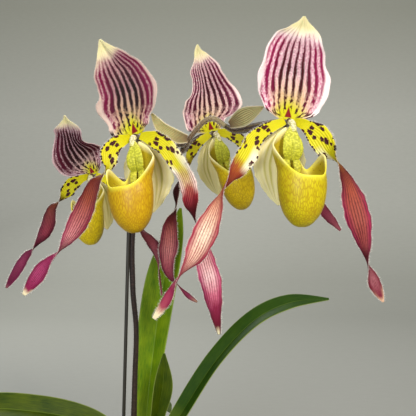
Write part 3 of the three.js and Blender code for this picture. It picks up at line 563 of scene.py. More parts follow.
# %% Finish of the dorsal sepal
STRIPES = 5.0               # stripes on either side of the midrib
SEPAL_LOOKS = {
    "bright": dict(
        ground="#fae8e6", flush="#c04a80", dark="#3c060e", outer="#860c44", bold=0.05, warmth=0.9,
        left=[(0.22, 0.0), (0.40, 0.12), (0.62, 0.04)], right=[(0.06, 0.14), (0.36, 0.12), (0.60, 0.04)]),
    "dark": dict(
        ground="#d0b8aa", flush="#983064", dark="#1c0404", outer="#6a0834", bold=0.19, warmth=0.6,
        left=[(0.10, 0.16), (0.34, 0.14), (0.50, 0.03)], right=[(0.16, 0.03), (0.34, 0.10), (0.62, 0.05)]),
    "purple": dict(
        ground="#ecd4ce", flush="#9a386a", dark="#360614", outer="#54062a", bold=0.17, warmth=0.45,
        left=[(0.0, 0.03), (0.5, 0.03), (1.0, 0.06)], right=[(0.0, 0.05), (0.5, 0.05), (1.0, 0.05)]),
    # The dusky look is for the bloom at the back. Its darker ground and flush are partly painted shade for
    # that bloom.
    "dusky": dict(
        ground="#d8babc", flush="#702846", dark="#22040a", outer="#4a0820", bold=0.32, warmth=0.2,
        left=[(0.0, 0.05), (0.5, 0.03), (1.0, 0.10)], right=[(0.0, 0.03), (0.5, 0.04), (1.0, 0.04)]),
}


def striped_sepal(name, ground, flush, dark, outer, bold, warmth, left, right):
    material, put = new_finish(name)
    across, along = put("across"), put("along")
    aside = put("ABSOLUTE", across)
    place = put("CombineXYZ", put("mm_across"), put("MULTIPLY", put("mm_along"), 0.45))
    cloud = put("TexNoise", named={"Vector": place, "Scale": 0.22, "Detail": 2.0})  # 5 mm patches
    grain = put("TexNoise", named={"Vector": place, "Scale": 3.2, "Detail": 2.0})   # 0.3 mm grain
    fine = put("TexNoise", named={"Vector": place, "Scale": 1.5, "Detail": 1.0})    # 0.7 mm mottling

    # One wave across the blade draws all the stripes. Its edges are ragged, and it thins upwards.
    phase = put("MULTIPLY_ADD", across, STRIPES, put("MULTIPLY", cloud, 0.6))
    wave = put("MULTIPLY_ADD", put("COSINE", put("MULTIPLY", phase, 2 * np.pi)), 0.5, 0.5)
    ragged = put("MULTIPLY_ADD", grain, 2.0, put("SUBTRACT", wave, 1.0))
    edge = put("ValToRGB", along, stops=[
        (0.0, 0.60), (0.25, 0.55), (0.5, 0.55), (0.7, 0.66), (0.88, 0.95)])
    edge = put("SUBTRACT", put("MULTIPLY_ADD", aside, -0.12, edge), bold)
    soft = put("MULTIPLY_ADD", aside, 0.16, 0.08)
    stripe = put("MapRange", ragged, put("SUBTRACT", edge, soft), put("ADD", edge, soft))

    # Low down the stripes break up into dashes. They stop short of the margins and the tip.
    cells = put("CombineXYZ", put("MULTIPLY", across, 9.0), put("MULTIPLY", along, 20.0))
    dashes = put("TexNoise", named={"Vector": cells, "Scale": 1.0, "Detail": 1.0})
    whole = put("MAXIMUM", put("MapRange", dashes, 0.44, 0.54), put("MapRange", along, 0.15, 0.30))
    width = put("MixRGB", put("GREATER_THAN", across, 0.0),
                put("ValToRGB", along, stops=right), put("ValToRGB", along, stops=left))
    rim = put("SUBTRACT", 1.0, width)
    margin = put("MapRange", put("MULTIPLY_ADD", grain, 0.12, put("SUBTRACT", aside, 0.06)),
                 put("SUBTRACT", rim, 0.07), rim, 1.0, 0.0)
    top = put("MapRange", put("MULTIPLY_ADD", cloud, 0.2, along), 0.84, 0.96, 1.0, 0.0)
    mask = put("MULTIPLY", stripe, whole, margin, top, put("MapRange", along, 0.04, 0.08))

    # The ground between them: a pink flush, maroon mottling, ochre low down, green-yellow, pale tip.
    flushed = put("MULTIPLY", put("MapRange", aside, 0.1, 0.7, 0.5, 0.85),
                  put("MapRange", fine, 0.32, 0.62, 0.15, 0.95), margin, top)
    skin = put("MixRGB", flushed, ground, flush)
    mottled = put("MULTIPLY", put("MapRange", grain, 0.38, 0.62, 0.0, 0.9),
                  put("MapRange", aside, 0.25, 0.65, 1.0, 0.35), put("MapRange", along, 0.28, 0.50), top)
    skin = put("MixRGB", mottled, skin, "#843e54")
    warm = put("MULTIPLY", put("ValToRGB", along, stops=[(0.12, 1.0), (0.24, 0.8), (0.46, 0.0)]),
               put("MapRange", aside, 0.3, 0.8, warmth, 0.0))
    skin = put("MixRGB", warm, skin, "#cfae62")
    base = put("MapRange", put("MULTIPLY_ADD", aside, 0.20, along), 0.14, 0.26, 1.0, 0.0)
    skin = put("MixRGB", base, skin, "#c6c20a")
    tip = put("MapRange", put("MULTIPLY_ADD", cloud, 0.1, along), 0.84, 0.95)
    skin = put("MixRGB", tip, skin, "#e2daa4")

    # The ink of the stripes, a few blotches at the very base, and a red eye over the column.
    ink = put("MixRGB", put("MapRange", aside, 0.35, 0.75), dark, outer)
    ink = put("MixRGB", put("MapRange", along, 0.5, 0.85, 0.0, 0.5), ink, outer)
    colour = put("MixRGB", mask, skin, ink)
    blotch = put("MULTIPLY", put("MapRange", along, 0.015, 0.035), put("MapRange", aside, 0.35, 0.5),
                 put("MapRange", along, 0.07, 0.10, 1.0, 0.0), put("MapRange", dashes, 0.46, 0.52))
    colour = put("MixRGB", blotch, colour, dark)
    wedge = put("MULTIPLY_ADD", along, 20.0, put("ABSOLUTE", put("mm_across")))
    eye = put("MULTIPLY", put("MapRange", along, 0.02, 0.03), put("MapRange", wedge, 2.4, 3.0, 1.0, 0.0))
    colour = put("MixRGB", eye, colour, "#7a0a12")
    bump = put("Bump", named={"Height": put("ADD", wave, grain), "Strength": 0.4, "Distance": 0.0003})
    return dress(material, Base_Color=colour, Normal=bump, Roughness=0.55, Specular_IOR_Level=0.18,
                 Subsurface_Weight=0.08, Subsurface_Radius=(0.0005, 0.0002, 0.0002),
                 Subsurface_Scale=1.0)


sepal_finish = {
    look: striped_sepal(f"striped_sepal_{look}", **tones) for look, tones in SEPAL_LOOKS.items()}
print("sepal finishes:", list(sepal_finish))

# %% [markdown]
# The dorsal sepal is the hood that keeps the rain out of the pouch. A flat card with painted
# stripes would be simple, but light would pass over it as over paper. So it is a cupped blade
# with a low rib under every stripe and a fold pinched into its tip, and its margin carries a
# fringe of very short white hairs.

# %% Dorsal sepals
DORSAL_CUP = 16             # degrees that the margins bend forward
DORSAL_THICK = 0.7
RIB_HEIGHT = 0.14
FOLD_DEPTH, FOLD_HALF = 0.9, 0.22


def sepal_ribs(blade):
    """Low ribs along the stripes, and a pinched fold that runs up into the tip."""
    v, along = blade["across"], blade["along"]
    ribs = np.cos(2 * np.pi * STRIPES * v) * (1 - np.abs(v) ** 6) * np.sin(np.pi * along)
    reach = np.clip((along - 0.5) / 0.35, 0, 1) * np.clip((1 - along) / 0.1, 0, 1)
    return RIB_HEIGHT * ribs - FOLD_DEPTH * np.exp(-(v / FOLD_HALF) ** 2) * reach


for number, plan in enumerate(BLOOMS):
    name = f"{plan['name']}_dorsal_sepal"
    rows = [(*row, 0, DORSAL_CUP) for row in plan["dorsal"]]
    blade = sweep_blade(rows, along=90, across=84, wave=0.06, frill=0.025, frills=3)
    points, faces, marks = thicken(blade, DORSAL_THICK, relief=sepal_ribs)
    piece(f"{name}_tissue", turned(plan, points), faces, sepal_finish[plan["look"]],
          replaces=name, marks=marks)
    blade["grid"] = turned(plan, blade["grid"])
    roots, ways = margin_roots(blade, spacing=0.25, start=0.08, seed=number)
    plant_hairs(f"{name}_hairs", roots, ways, length=0.7, radius=0.05, finish=hair_white,
                seed=10 + number)
print("dorsal sepals:", len(BLOOMS))

# %% [markdown]
# The synsepal hangs behind the pouch. It is two sepals that have grown together, and it is thin
# and cream, so light sinks into it a little and comes out warm and soft: that is its subsurface
# share. Each half has a broad olive band of stripes down its middle. The same cosine as before
# draws them, and a noise lets them wander.

# %% Finish of the synsepal
SYNSEPAL_STRIPES = 5.0      # stripes on either side of the fold

cream_sepal, put = new_finish("cream_sepal")
across, along = put("across"), put("along")
place = put("CombineXYZ", put("MULTIPLY", across, 4.0), put("MULTIPLY", along, 3.0))
wander = put("TexNoise", named={"Vector": place, "Scale": 1.2, "Detail": 3.0})
phase = put("MULTIPLY_ADD", across, SYNSEPAL_STRIPES, put("MULTIPLY", wander, 0.3))
wave = put("COSINE", put("MULTIPLY", phase, 2 * np.pi))
lines = put("MapRange", wave, -0.2, 0.9)
apart = put("ABSOLUTE", put("SUBTRACT", put("ABSOLUTE", across), 0.5))
band = put("MapRange", put("MULTIPLY_ADD", wander, 0.2, apart), 0.18, 0.36, 1.0, 0.0)
green = put("MULTIPLY", band, put("MapRange", along, 0.55, 0.95, 1.0, 0.35),
            put("MULTIPLY_ADD", lines, 0.55, 0.15))
skin = put("MixRGB", put("MULTIPLY", lines, 0.3), "#fff6be", "#f2e682")
bump = put("Bump", named={"Height": wave, "Strength": 0.15, "Distance": 0.0003})
dress(cream_sepal, Base_Color=put("MixRGB", green, skin, "#b4b02c"), Normal=bump, Roughness=0.5,
      Specular_IOR_Level=0.3, Subsurface_Weight=0.15, Subsurface_Radius=(0.001, 0.0009, 0.0006),
      Subsurface_Scale=1.0)

# %% [markdown]
# Its shape is one blade again, hung down from the ovary. All four blooms share one short table,
# and the bloom's plan says how far each half shows. The fold where the halves meet is pressed in
# as a groove, because a modelled groove still shows where the light is flat.

# %% Synsepals
SYNSEPAL_ROWS = [
    (3, -3, 4, 10), (5.5, -11, 13, 12), (8, -21, 17, 12), (10.5, -31, 14.5, 16), (13, -40, 8, 20),
    (15, -46.5, 0.6, 10)]
SYNSEPAL_THICK = 0.7
SYNSEPAL_RIB, GROOVE_DEPTH, GROOVE_HALF = 0.04, 0.5, 0.08


def synsepal_ribs(blade):
    v = blade["across"]
    ribs = SYNSEPAL_RIB * np.cos(2 * np.pi * SYNSEPAL_STRIPES * v)
    return ribs - GROOVE_DEPTH * np.exp(-(v / GROOVE_HALF) ** 2)


for plan in BLOOMS:
    name = f"{plan['name']}_synsepal"
    left, right = plan["sides"]
    size = plan["size"]
    rows = [(0, y, z * size, half * right * size, half * left * size, 0, cup)
            for y, z, half, cup in SYNSEPAL_ROWS]
    blade = sweep_blade(rows, along=60, across=48, wave=0.05, frill=0.02)
    points, faces, marks = thicken(blade, SYNSEPAL_THICK, relief=synsepal_ribs)
    piece(f"{name}_tissue", turned(plan, points), faces, cream_sepal, replaces=name,
          marks=marks)
print("synsepals:", len(BLOOMS))

# %% [markdown]
# The petals change colour along their length: bright yellow with dark raised spots near the
# flower, then white or salmon with red veins, then rose to wine, and a cream tip. Every petal
# has its own mix, so each has its colours as stops along the petal, one set for its middle and
# one for its margins. Two ramps are easier to tune than one painted image, and they stay sharp
# at any size. end is where the yellow stops, and patch how much cream there is beside that place.

# %% Colours of the petals
YELLOW = "#d0c814"
CREAM_TIP = "#efe2b8"
VEIN_LINES = 4.5
SPOT_SPACING_MM = 3.5
PETAL_LOOKS = {
    "bloom_1_left": dict(
        end=0.235, patch=0.0, vein="#3a0a14",
        middle=[
            (0.23, YELLOW), (0.27, "#6b4a1c"), (0.33, "#6b3018"), (0.42, "#742c2c"),
            (0.54, "#862c40"), (0.64, "#5a1430"), (0.80, "#882c50"), (0.97, "#5f1434"),
            (1.0, "#8a5a5c")],
        edges=[
            (0.23, YELLOW), (0.27, "#3a100c"), (0.42, "#4a0c1c"), (0.64, "#5a0e30"),
            (0.9, "#6a0f40")]),
    "bloom_1_right": dict(
        end=0.18, patch=0.0, vein="#4a0a18",
        middle=[
            (0.18, YELLOW), (0.30, "#6b2418"), (0.60, "#5a1a20"), (0.72, "#8a4048"),
            (0.88, "#9a5058")],
        edges=[
            (0.18, YELLOW), (0.30, "#4a140c"), (0.60, "#3f0a14"), (0.80, "#5a1028"),
            (1.0, "#8a3a4c")]),
    "bloom_2_left": dict(
        end=0.243, patch=0.2, vein="#3f0a12",
        middle=[
            (0.24, YELLOW), (0.28, "#7a4a1c"), (0.33, "#6b2416"), (0.42, "#8a3c22"),
            (0.52, "#aa5a56"), (0.63, "#cf8084"), (0.70, "#c87a86"), (0.76, "#8f2450"),
            (0.88, "#a83a68"), (0.96, "#8a1848"), (0.985, CREAM_TIP)],
        edges=[
            (0.24, YELLOW), (0.28, "#5a1c10"), (0.42, "#5a1018"), (0.56, "#8a2440"),
            (0.70, "#8a1c4c"), (0.95, "#780f40"), (0.985, CREAM_TIP)]),
    "bloom_2_right": dict(
        end=0.23, patch=0.6, vein="#6e0a18",
        middle=[
            (0.23, YELLOW), (0.27, "#ccba5c"), (0.32, "#d8b48c"), (0.35, "#b45a4c"),
            (0.39, "#8a242c"), (0.44, "#4f0e18"), (0.50, "#34060e"), (0.56, "#8a3444"),
            (0.64, "#e0a0a4"), (0.74, "#ecc4c4"), (0.82, "#c86880"), (0.88, "#8a2448"),
            (0.96, "#5f1228"), (0.99, CREAM_TIP)],
        edges=[
            (0.21, YELLOW), (0.25, "#f4eede"), (0.34, "#ecd0c4"), (0.38, "#901c2a"),
            (0.44, "#2c060c"), (0.58, "#7a1c34"), (0.70, "#c0507a"), (0.80, "#a02c5c"),
            (0.90, "#5f1030"), (0.97, "#4f0c20")]),
    "bloom_3_left": dict(
        end=0.17, patch=0.0, vein="#3a0a14",
        middle=[
            (0.17, YELLOW), (0.21, "#5a1c10"), (0.30, "#34080c"), (0.44, "#34080a"),
            (0.52, "#682020"), (0.58, "#b0605c"), (0.68, "#b8706e"), (0.76, "#9a4450"),
            (0.85, "#7a2440"), (0.95, "#8a2c50"), (1.0, "#b08a70")],
        edges=[
            (0.17, YELLOW), (0.21, "#3a0a0c"), (0.42, "#3a0a10"), (0.60, "#7a2438"),
            (0.85, "#5a1028")]),
    "bloom_3_right": dict(
        end=0.24, patch=0.0, vein="#4a0c1c",
        middle=[
            (0.24, YELLOW), (0.34, "#7a3020"), (0.60, "#7e2634"), (0.85, "#702238"),
            (0.97, "#8a4450")],
        edges=[(0.24, YELLOW), (0.34, "#4a100c"), (0.60, "#5a1028"), (1.0, "#5a1028")]),
    "bloom_4_left": dict(
        end=0.265, patch=0.9, vein="#8a1c30",
        middle=[
            (0.26, YELLOW), (0.30, "#a8581c"), (0.41, "#a8502e"), (0.49, "#dca080"),
            (0.60, "#eed8bc"), (0.70, "#eabfa8"), (0.79, "#c06a70"), (0.86, "#9c2a54"),
            (0.94, "#a54a5c"), (0.975, CREAM_TIP)],
        edges=[
            (0.26, YELLOW), (0.30, "#7a2a14"), (0.45, "#8f3030"), (0.60, "#a83a4c"),
            (0.75, "#8f2440"), (0.93, "#7a1440"), (0.975, CREAM_TIP)]),
    "bloom_4_right": dict(
        end=0.28, patch=-0.8, vein="#4a0810",
        middle=[
            (0.27, YELLOW), (0.31, "#8a5a1c"), (0.36, "#6b2a18"), (0.45, "#a04a34"),
            (0.60, "#a25044"), (0.70, "#8f3c3c"), (0.78, "#5a1020"), (0.88, "#a4626a"),
            (0.965, "#7a2034"), (0.99, "#d8b090")],
        edges=[
            (0.27, YELLOW), (0.31, "#7a3a10"), (0.36, "#4a0c10"), (0.50, "#8a1840"),
            (0.65, "#9c1c4c"), (0.78, "#5f0a24"), (0.92, "#6a1028"), (0.99, "#d8b090")]),
}
print("petals with colours of their own:", len(PETAL_LOOKS))

# %% [markdown]
# One recipe turns those colours into tissue. Over them lie the veins, drawn by a cosine as on the
# sepal, fine flecks, and dark spots where the petal is yellow. Spots of one size on a grid would
# look printed, so they are the cells of a Voronoi pattern that is laid out in real millimetres,
# and only some of the cells carry one. The tissue is satin, a little glossier than the sepal's,
# and the spots and veins are slightly raised.

# %% Finish of the petals
def petal_tissue(name, end, patch, vein, middle, edges):
    material, put = new_finish(name)
    across, along, mm_across, mm_along = (put(mark) for mark in MARKS)
    aside = put("ABSOLUTE", across)
    place = put("CombineXYZ", mm_across, put("MULTIPLY", mm_along, 0.3))
    cloud = put("TexNoise", named={"Vector": place, "Scale": 0.35, "Detail": 3.0})  # 3 mm patches
    drift = put("ADD", put("MULTIPLY_ADD", cloud, 0.06, -0.03), along)
    flank = put("MapRange", put("MULTIPLY_ADD", cloud, 0.3, put("SUBTRACT", aside, 0.15)), 0.35, 0.9)
    ground = put("MixRGB", flank, put("ValToRGB", drift, stops=[(0.0, YELLOW), *middle]),
                 put("ValToRGB", drift, stops=[(0.0, YELLOW), *edges]))

    # Veins and flecks are dark where the petal is rose, and faint olive where it is yellow.
    phase = put("MULTIPLY_ADD", across, VEIN_LINES, put("MULTIPLY", cloud, 0.5))
    wave = put("COSINE", put("MULTIPLY", phase, 2 * np.pi))
    coloured = put("MapRange", drift, end, end + 0.06)
    rose = put("MULTIPLY", coloured, put("MapRange", along, 0.94, 0.98, 1.0, 0.0))
    lines = put("MULTIPLY", put("MapRange", wave, 0.2, 0.95, 0.0, 0.95),
                put("MapRange", cloud, 0.35, 0.6, 0.45, 0.95), rose)
    ground = put("MixRGB", lines, ground, vein)
    fleck = put("TexNoise", named={"Vector": place, "Scale": 2.4, "Detail": 2.0})   # 0.4 mm flecks
    flecks = put("MULTIPLY", put("MapRange", fleck, 0.5, 0.72, 0.0, 0.55), rose)
    ground = put("MixRGB", flecks, ground, vein)
    streak = put("MULTIPLY", put("MapRange", wave, 0.5, 1.0, 0.0, 0.35), put("SUBTRACT", 1.0, coloured))
    ground = put("MixRGB", streak, ground, "#9c960c")

    # Some petals are cream on one side of the place where the yellow ends.
    cream_side = put("MapRange", put("MULTIPLY", across, float(np.sign(patch))), 0.1, 0.5)
    pale = put("MULTIPLY", cream_side, put("MapRange", along, end - 0.09, end - 0.04),
               put("MapRange", along, end + 0.01, end + 0.05, 1.0, 0.0), abs(patch))
    ground = put("MixRGB", pale, ground, "#f2eccb")
    ground = put("MixRGB", put("MapRange", aside, 0.94, 1.0, 0.0, 0.3), ground, "#f0ddd0")

    # A spot is the middle of a cell, pushed out of round by a noise. Only some cells are wanted.
    wobble = put("TexNoise", out="Color",
                 named={"Vector": put("CombineXYZ", mm_across, mm_along), "Scale": 0.6})
    laid = put("VectorMath", wobble, (1.8,) * 3,
               put("CombineXYZ", mm_across, put("MULTIPLY", mm_along, 0.62)), operation="MULTIPLY_ADD")
    spots = {"Vector": laid, "Scale": 1 / SPOT_SPACING_MM, "Randomness": 0.9}
    distance = put("TexVoronoi", named=spots, voronoi_dimensions="2D")
    chance = put("SeparateColor", put("TexVoronoi", out="Color", named=spots, voronoi_dimensions="2D"))
    wanted = put("MapRange", put("MULTIPLY_ADD", aside, 0.35, chance), 0.36, 0.40)
    size = put("MULTIPLY_ADD", chance, 0.20, 0.14)
    spot = put("MULTIPLY", put("MapRange", distance, size, put("ADD", size, 0.08), 1.0, 0.0), wanted,
               put("MapRange", along, end - 0.01, end + 0.03, 1.0, 0.0), put("MapRange", along, 0.035, 0.07))
    colour = put("MixRGB", spot, ground, put("MixRGB", cloud, "#1c0409", "#52121a"))
    height = put("ADD", put("MULTIPLY_ADD", wave, 0.6, cloud), spot)
    bump = put("Bump", named={"Height": height, "Strength": 0.45, "Distance": 0.0004})
    return dress(material, Base_Color=colour, Normal=bump, Roughness=0.48, Specular_IOR_Level=0.2,
                 Subsurface_Weight=0.1, Subsurface_Radius=(0.0006, 0.0003, 0.0003),
                 Subsurface_Scale=1.0)


petal_finish = {key: petal_tissue(f"petal_{key}", **look) for key, look in PETAL_LOOKS.items()}
print("petal finishes:", len(petal_finish))

# %% [markdown]
# The warts on the petals' margins are dark and wet-looking, each with its tuft of hairs. They
# could be painted spots, but they break the outline, so each one is a small round body. The
# finish is smooth and nearly black, and its small highlight is what makes a wart read as round.
# The noise has no place given, so it is 4000 grains across the piece: an even dark mix.

# %% Warts
wart, put = new_finish("dark_petal_wart")
glint = put("TexNoise", named={"Scale": 4000.0})
dress(wart, Base_Color=put("MixRGB", glint, "#1c0408", "#3a0a12"), Roughness=0.35)


def domes(places, ways_out, radius, sides=8):
    """Small round bodies, one for each place."""
    points, faces = [], []
    lifts = np.radians([-60, -20, 20, 60])
    for place, way, r in zip(places, ways_out, radius):
        side = unit(np.cross(way, [0.3, 0.5, 0.8]))
        other = np.cross(way, side)
        turn = 2 * np.pi * np.arange(sides) / sides
        around = np.cos(turn)[:, None] * side + np.sin(turn)[:, None] * other
        rings = np.stack([place + r * (np.cos(a) * around + 0.7 * np.sin(a) * way) for a in lifts])
        body, its_faces = tube(rings)
        faces += [[k + len(points) for k in face] for face in its_faces]
        points += body.tolist()
    return points, faces


# %% [markdown]
# Each petal is a long narrow blade that starts beside the top of the ovary and twists as it
# hangs. A straight strip with a twist modifier would turn at an even rate, and a real petal does
# not, so every row carries its own turn. The first row is worked out from the bloom's place, so
# that all petals start on their ovary.

# %% Petals
PETAL_CUP = 12
PETAL_THICK = 0.7
PETAL_ROOT_HALF = 2.2
PETAL_ROOT_DEPTH = 0.6
PETAL_RIB = 0.07
WART_SPACING, WART_SINK, WART_RADIUS = 2.3, 0.2, (0.5, 0.9)


def petal_rows(plan, side):
    out = -plan["roots"][0] if side == "left" else plan["roots"][1]
    root = turned(plan, [out, PETAL_ROOT_DEPTH, 0]) - np.array(plan["at"])
    rows = [(*root, PETAL_ROOT_HALF, 0), *plan[side]]
    return [(x, y, z, half, half, twist, PETAL_CUP) for x, y, z, half, twist in rows]


def petal_veins(blade):
    fade = (1 - blade["across"] ** 6) * np.sin(np.pi * blade["along"])
    return PETAL_RIB * np.cos(2 * np.pi * VEIN_LINES * blade["across"]) * fade


for number, plan in enumerate(BLOOMS):
    for side in ("left", "right"):
        name, key = f"{plan['name']}_petal_{side}", f"{plan['name']}_{side}"
        seed = 100 + 2 * number + (side == "right")
        blade = sweep_blade(petal_rows(plan, side), along=170, across=30, wave=0.1, waves=5,
                            frill=0.04, frills=11)
        blade["grid"] = blade["grid"] + np.array(plan["at"])
        points, faces, marks = thicken(blade, PETAL_THICK, relief=petal_veins)
        piece(f"{name}_tissue", points, faces, petal_finish[key], replaces=name, marks=marks)
        roots, ways = margin_roots(blade, spacing=0.22, start=0.06, seed=seed)
        plant_hairs(f"{name}_hairs", roots, ways, length=1.3, radius=0.07, finish=hair_white,
                    seed=seed)
        rng = np.random.default_rng(seed)
        end = PETAL_LOOKS[key]["end"]
        roots, ways = margin_roots(blade, WART_SPACING, start=0.07, end=end, seed=seed)
        points, faces = domes(roots - WART_SINK * ways, ways, rng.uniform(*WART_RADIUS, len(roots)))
        piece(f"{name}_warts", points, faces, wart)
print("petals:", 2 * len(BLOOMS))

# %% [markdown]
# The pouch is the slipper: a deep bag that is open on top, with an ear on each side, a notch
# behind each ear, and a claw at the back that holds it to the flower. A sphere could be cut and
# pushed into this shape by hand. Here it is built as rings round an axis that climb from the foot
# to a rim of changing height, outside and inside, so the wall has its thickness everywhere. One
# side of the rim is open and the other runs up into the claw, so there are two rim tables.

# %% Shape of the pouch
POUCH_ROWS = [              # height, half width, front and back
    (-58, 2.2, -17.5, -13.5), (-57, 4.5, -19.5, -11.5), (-55, 6.8, -21.8, -9.3), (-51, 9.8, -24.5, -7),
    (-45, 12, -26.5, -5.3), (-36, 13.2, -27.3, -4.3), (-27, 13, -26, -3.8), (-20, 13.4, -25, -3.4),
    (-16, 12.5, -22, -3), (-12, 10, -16, -2.6), (-7, 7.5, -9, -2), (-3.5, 4, -5.5, -1.6)]
FREE_RIM_ROWS = [           # degrees from the front, and the rim's height there
    (0, -31.6), (20, -31.5), (34, -31.2), (50, -29), (63, -25.3), (74, -20.8), (84, -19.6),
    (96, -20.4), (110, -22.2), (124, -24.4), (136, -26.4), (146, -27.2), (154, -24), (161, -16),
    (168, -8), (180, -4)]
CLAW_RIM_ROWS = [
    (0, -31.6), (20, -31.2), (40, -28.8), (59, -25), (75, -20.8), (90, -16.8), (104, -13.6),
    (118, -10.8), (130, -8.6), (145, -6.6), (158, -5.2), (170, -4.3), (180, -4)]
POUCH_FLOOR = -58
POUCH_WALL = 0.8
POUCH_SIDES = 112
CLAW_LEAN = 3.0             # how far the claw stands off to the side the bloom looks away from
LEAN_FROM, LEAN_RISE = -28, 14      # the height where that lean starts, and over how much it grows
LIP_ROLL = 0.5              # how far the front rim rolls outwards


def smooth_table(rows, count=400):
    return row_at(rows, np.linspace(0, 1, count))


pouch_table = smooth_table(POUCH_ROWS)
free_rim, claw_rim = smooth_table(FREE_RIM_ROWS), smooth_table(CLAW_RIM_ROWS)


def pouch_ring(step, inset, plan):
    """One ring round the pouch, part of the way up to the rim and inset from its outside."""
    turn = 2 * np.pi * np.arange(POUCH_SIDES) / POUCH_SIDES
    angle = np.degrees(np.minimum(turn, 2 * np.pi - turn))
    claw_side = -np.sign(plan["turn"])
    top = np.where(np.sin(turn) * claw_side > 0, np.interp(angle, claw_rim[:, 0], claw_rim[:, 1]),
                   np.interp(angle, free_rim[:, 0], free_rim[:, 1]))
    z = POUCH_FLOOR + (top - POUCH_FLOOR) * (1 - np.cos(np.pi / 2 * step))
    half, front, back = (np.interp(z, pouch_table[:, 0], pouch_table[:, k]) for k in (1, 2, 3))
    lean = CLAW_LEAN * np.clip((z - LEAN_FROM) / LEAN_RISE, 0, 1) * np.clip((angle - 60) / 40, 0, 1)
    roll = LIP_ROLL * np.clip((step - 0.9) / 0.1, 0, 1) ** 2 * np.clip((100 - angle) / 30, 0, 1)
    x = plan["broad"] * (half - inset + roll) * np.sin(turn) + claw_side * lean
    y = (front + back) / 2 - ((back - front) / 2 - inset + roll) * np.cos(turn)
    return plan["size"] * np.stack([x, y, z + inset * (1 - step)], axis=1)


print("the rim climbs from", POUCH_ROWS[0][0], "to", round(claw_rim[-1, 1], 1), "mm")

# %% [markdown]
# Its tissue is waxy and golden. Wax makes the surface even, so the highlight is broad and soft,
# and light sinks in a little. The gold is darker in random patches, and darker towards the sides
# and the back, which is painted shade. A fine net of upright veins lies under it: a Voronoi pattern
# whose cells are about one millimetre wide and four high. The inside is olive and dotted, with dots
# about a millimetre and a half apart, and the rim is paler where it rises into the ears.

# %% Finish of the pouch
# Each look is the ground, and one darker colour for both the veins and the painted shade.
POUCH_LOOKS = {
    "dusky": ("#e6ce16", "#a68408"), "dark": ("#caa60a", "#a26e06"),
    "purple": ("#dabe10", "#9c7a0a"), "bright": ("#cabc0c", "#987006"),
}


def pouch_tissue(name, ground, vein_and_shade_colour):
    material, put = new_finish(name)
    spot = put("TexCoord", out="Object")
    cells = put("VectorMath", spot, (1000.0, 1000.0, 260.0), operation="MULTIPLY")
    net = put("TexVoronoi", named={"Vector": cells, "Scale": 1.0, "Randomness": 1.0},
              feature="DISTANCE_TO_EDGE")
    cloud = put("TexNoise", named={"Vector": spot, "Scale": 90.0, "Detail": 3.0})   # 11 mm patches
    # Painted shade: the gold darkens towards the sides and the back of the pouch. The cloud adds random
    # darker patches.
    side = put("MapRange", put("ABSOLUTE", put("across")), 0.3, 0.8, 0.0, 0.3)
    side_shade_and_patches = put("ADD", put("MapRange", cloud, 0.45, 0.7, 0.0, 0.3), side, use_clamp=True)
    skin = put("MixRGB", side_shade_and_patches, ground, vein_and_shade_colour)
    skin = put("MixRGB", put("MapRange", net, 0.02, 0.22, 0.6, 0.0), skin, vein_and_shade_colour)
    grid = put("VectorMath", spot, (700.0,) * 3, operation="MULTIPLY")
    dots = put("MapRange", put("TexVoronoi", named={"Vector": grid, "Scale": 1.0}), 0.12, 0.28, 0.8, 0.0)
    skin = put("MixRGB", put("under"), skin, put("MixRGB", dots, "#b5a01c", "#6a3210"))
    lip = put("MixRGB", put("MapRange", put("mm_along"), -27.0, -19.0), "#e6dd3c", "#f4ecb0")
    rim = put("MapRange", put("along"), 0.93, 0.99)
    skin = put("MixRGB", put("MULTIPLY", rim, 0.8), skin, lip)
    bump = put("Bump", named={"Height": net, "Strength": 0.25, "Distance": 0.0003})
    return dress(material, Base_Color=skin, Normal=bump, Roughness=0.42, Specular_IOR_Level=0.3,
                 Subsurface_Weight=0.12, Subsurface_Radius=(0.0012, 0.0009, 0.0003),
                 Subsurface_Scale=1.0)


pouch_finish = {look: pouch_tissue(f"waxy_pouch_{look}", *tones) for look, tones in POUCH_LOOKS.items()}
print("pouch finishes:", list(pouch_finish))

# %% [markdown]
# Now the four pouches. The rings of the outside, two rings over the lip and the rings of the
# inside make one closed tube. The marks tell the finish how high a point lies, how far round,
# and whether it is outside or inside.

# %% Pouches
POUCH_STEPS = 44
LIP_STEPS = (0.3, 0.6)
LIP_RISE = 0.35

steps = np.linspace(0, 1, POUCH_STEPS + 1)
for plan in BLOOMS:
    name = f"{plan['name']}_pouch"
    outer = [pouch_ring(step, 0, plan) for step in steps]
    lip = [pouch_ring(1, POUCH_WALL * k, plan) + [0, 0, LIP_RISE * np.sin(np.pi * k)]
           for k in LIP_STEPS]
    inner = [pouch_ring(step, POUCH_WALL, plan) for step in steps[::-1]]
    rings = np.stack(outer + lip + inner)
    points, faces = tube(rings)
    angle = 2 * np.arange(POUCH_SIDES) / POUCH_SIDES
    angle = np.where(angle > 1, angle - 2, angle)
    heights = np.repeat([*steps, 1, 1, *steps[::-1]], POUCH_SIDES)
    inside = np.repeat([*[0] * len(outer), *LIP_STEPS, *[1] * len(inner)], POUCH_SIDES)
    marks = {"along": [*heights, 0, 0], "across": [*np.tile(angle, len(rings)), 0, 0],
             "under": [*inside, 0, 1], "mm_along": points[:, 2] / plan["size"]}
    piece(f"{name}_tissue", turned(plan, points), faces, pouch_finish[plan["look"]],
          replaces=name, marks=marks)
print("pouches:", len(BLOOMS), "of", len(faces), "faces")

# %% [markdown]
# Stems and columns are round bodies that bend. Blender's bevelled curves could make them, but a
# mesh is wanted that can carry marks and hairs, so this helper lays rings along a smooth line,
# and can raise ribs on them.

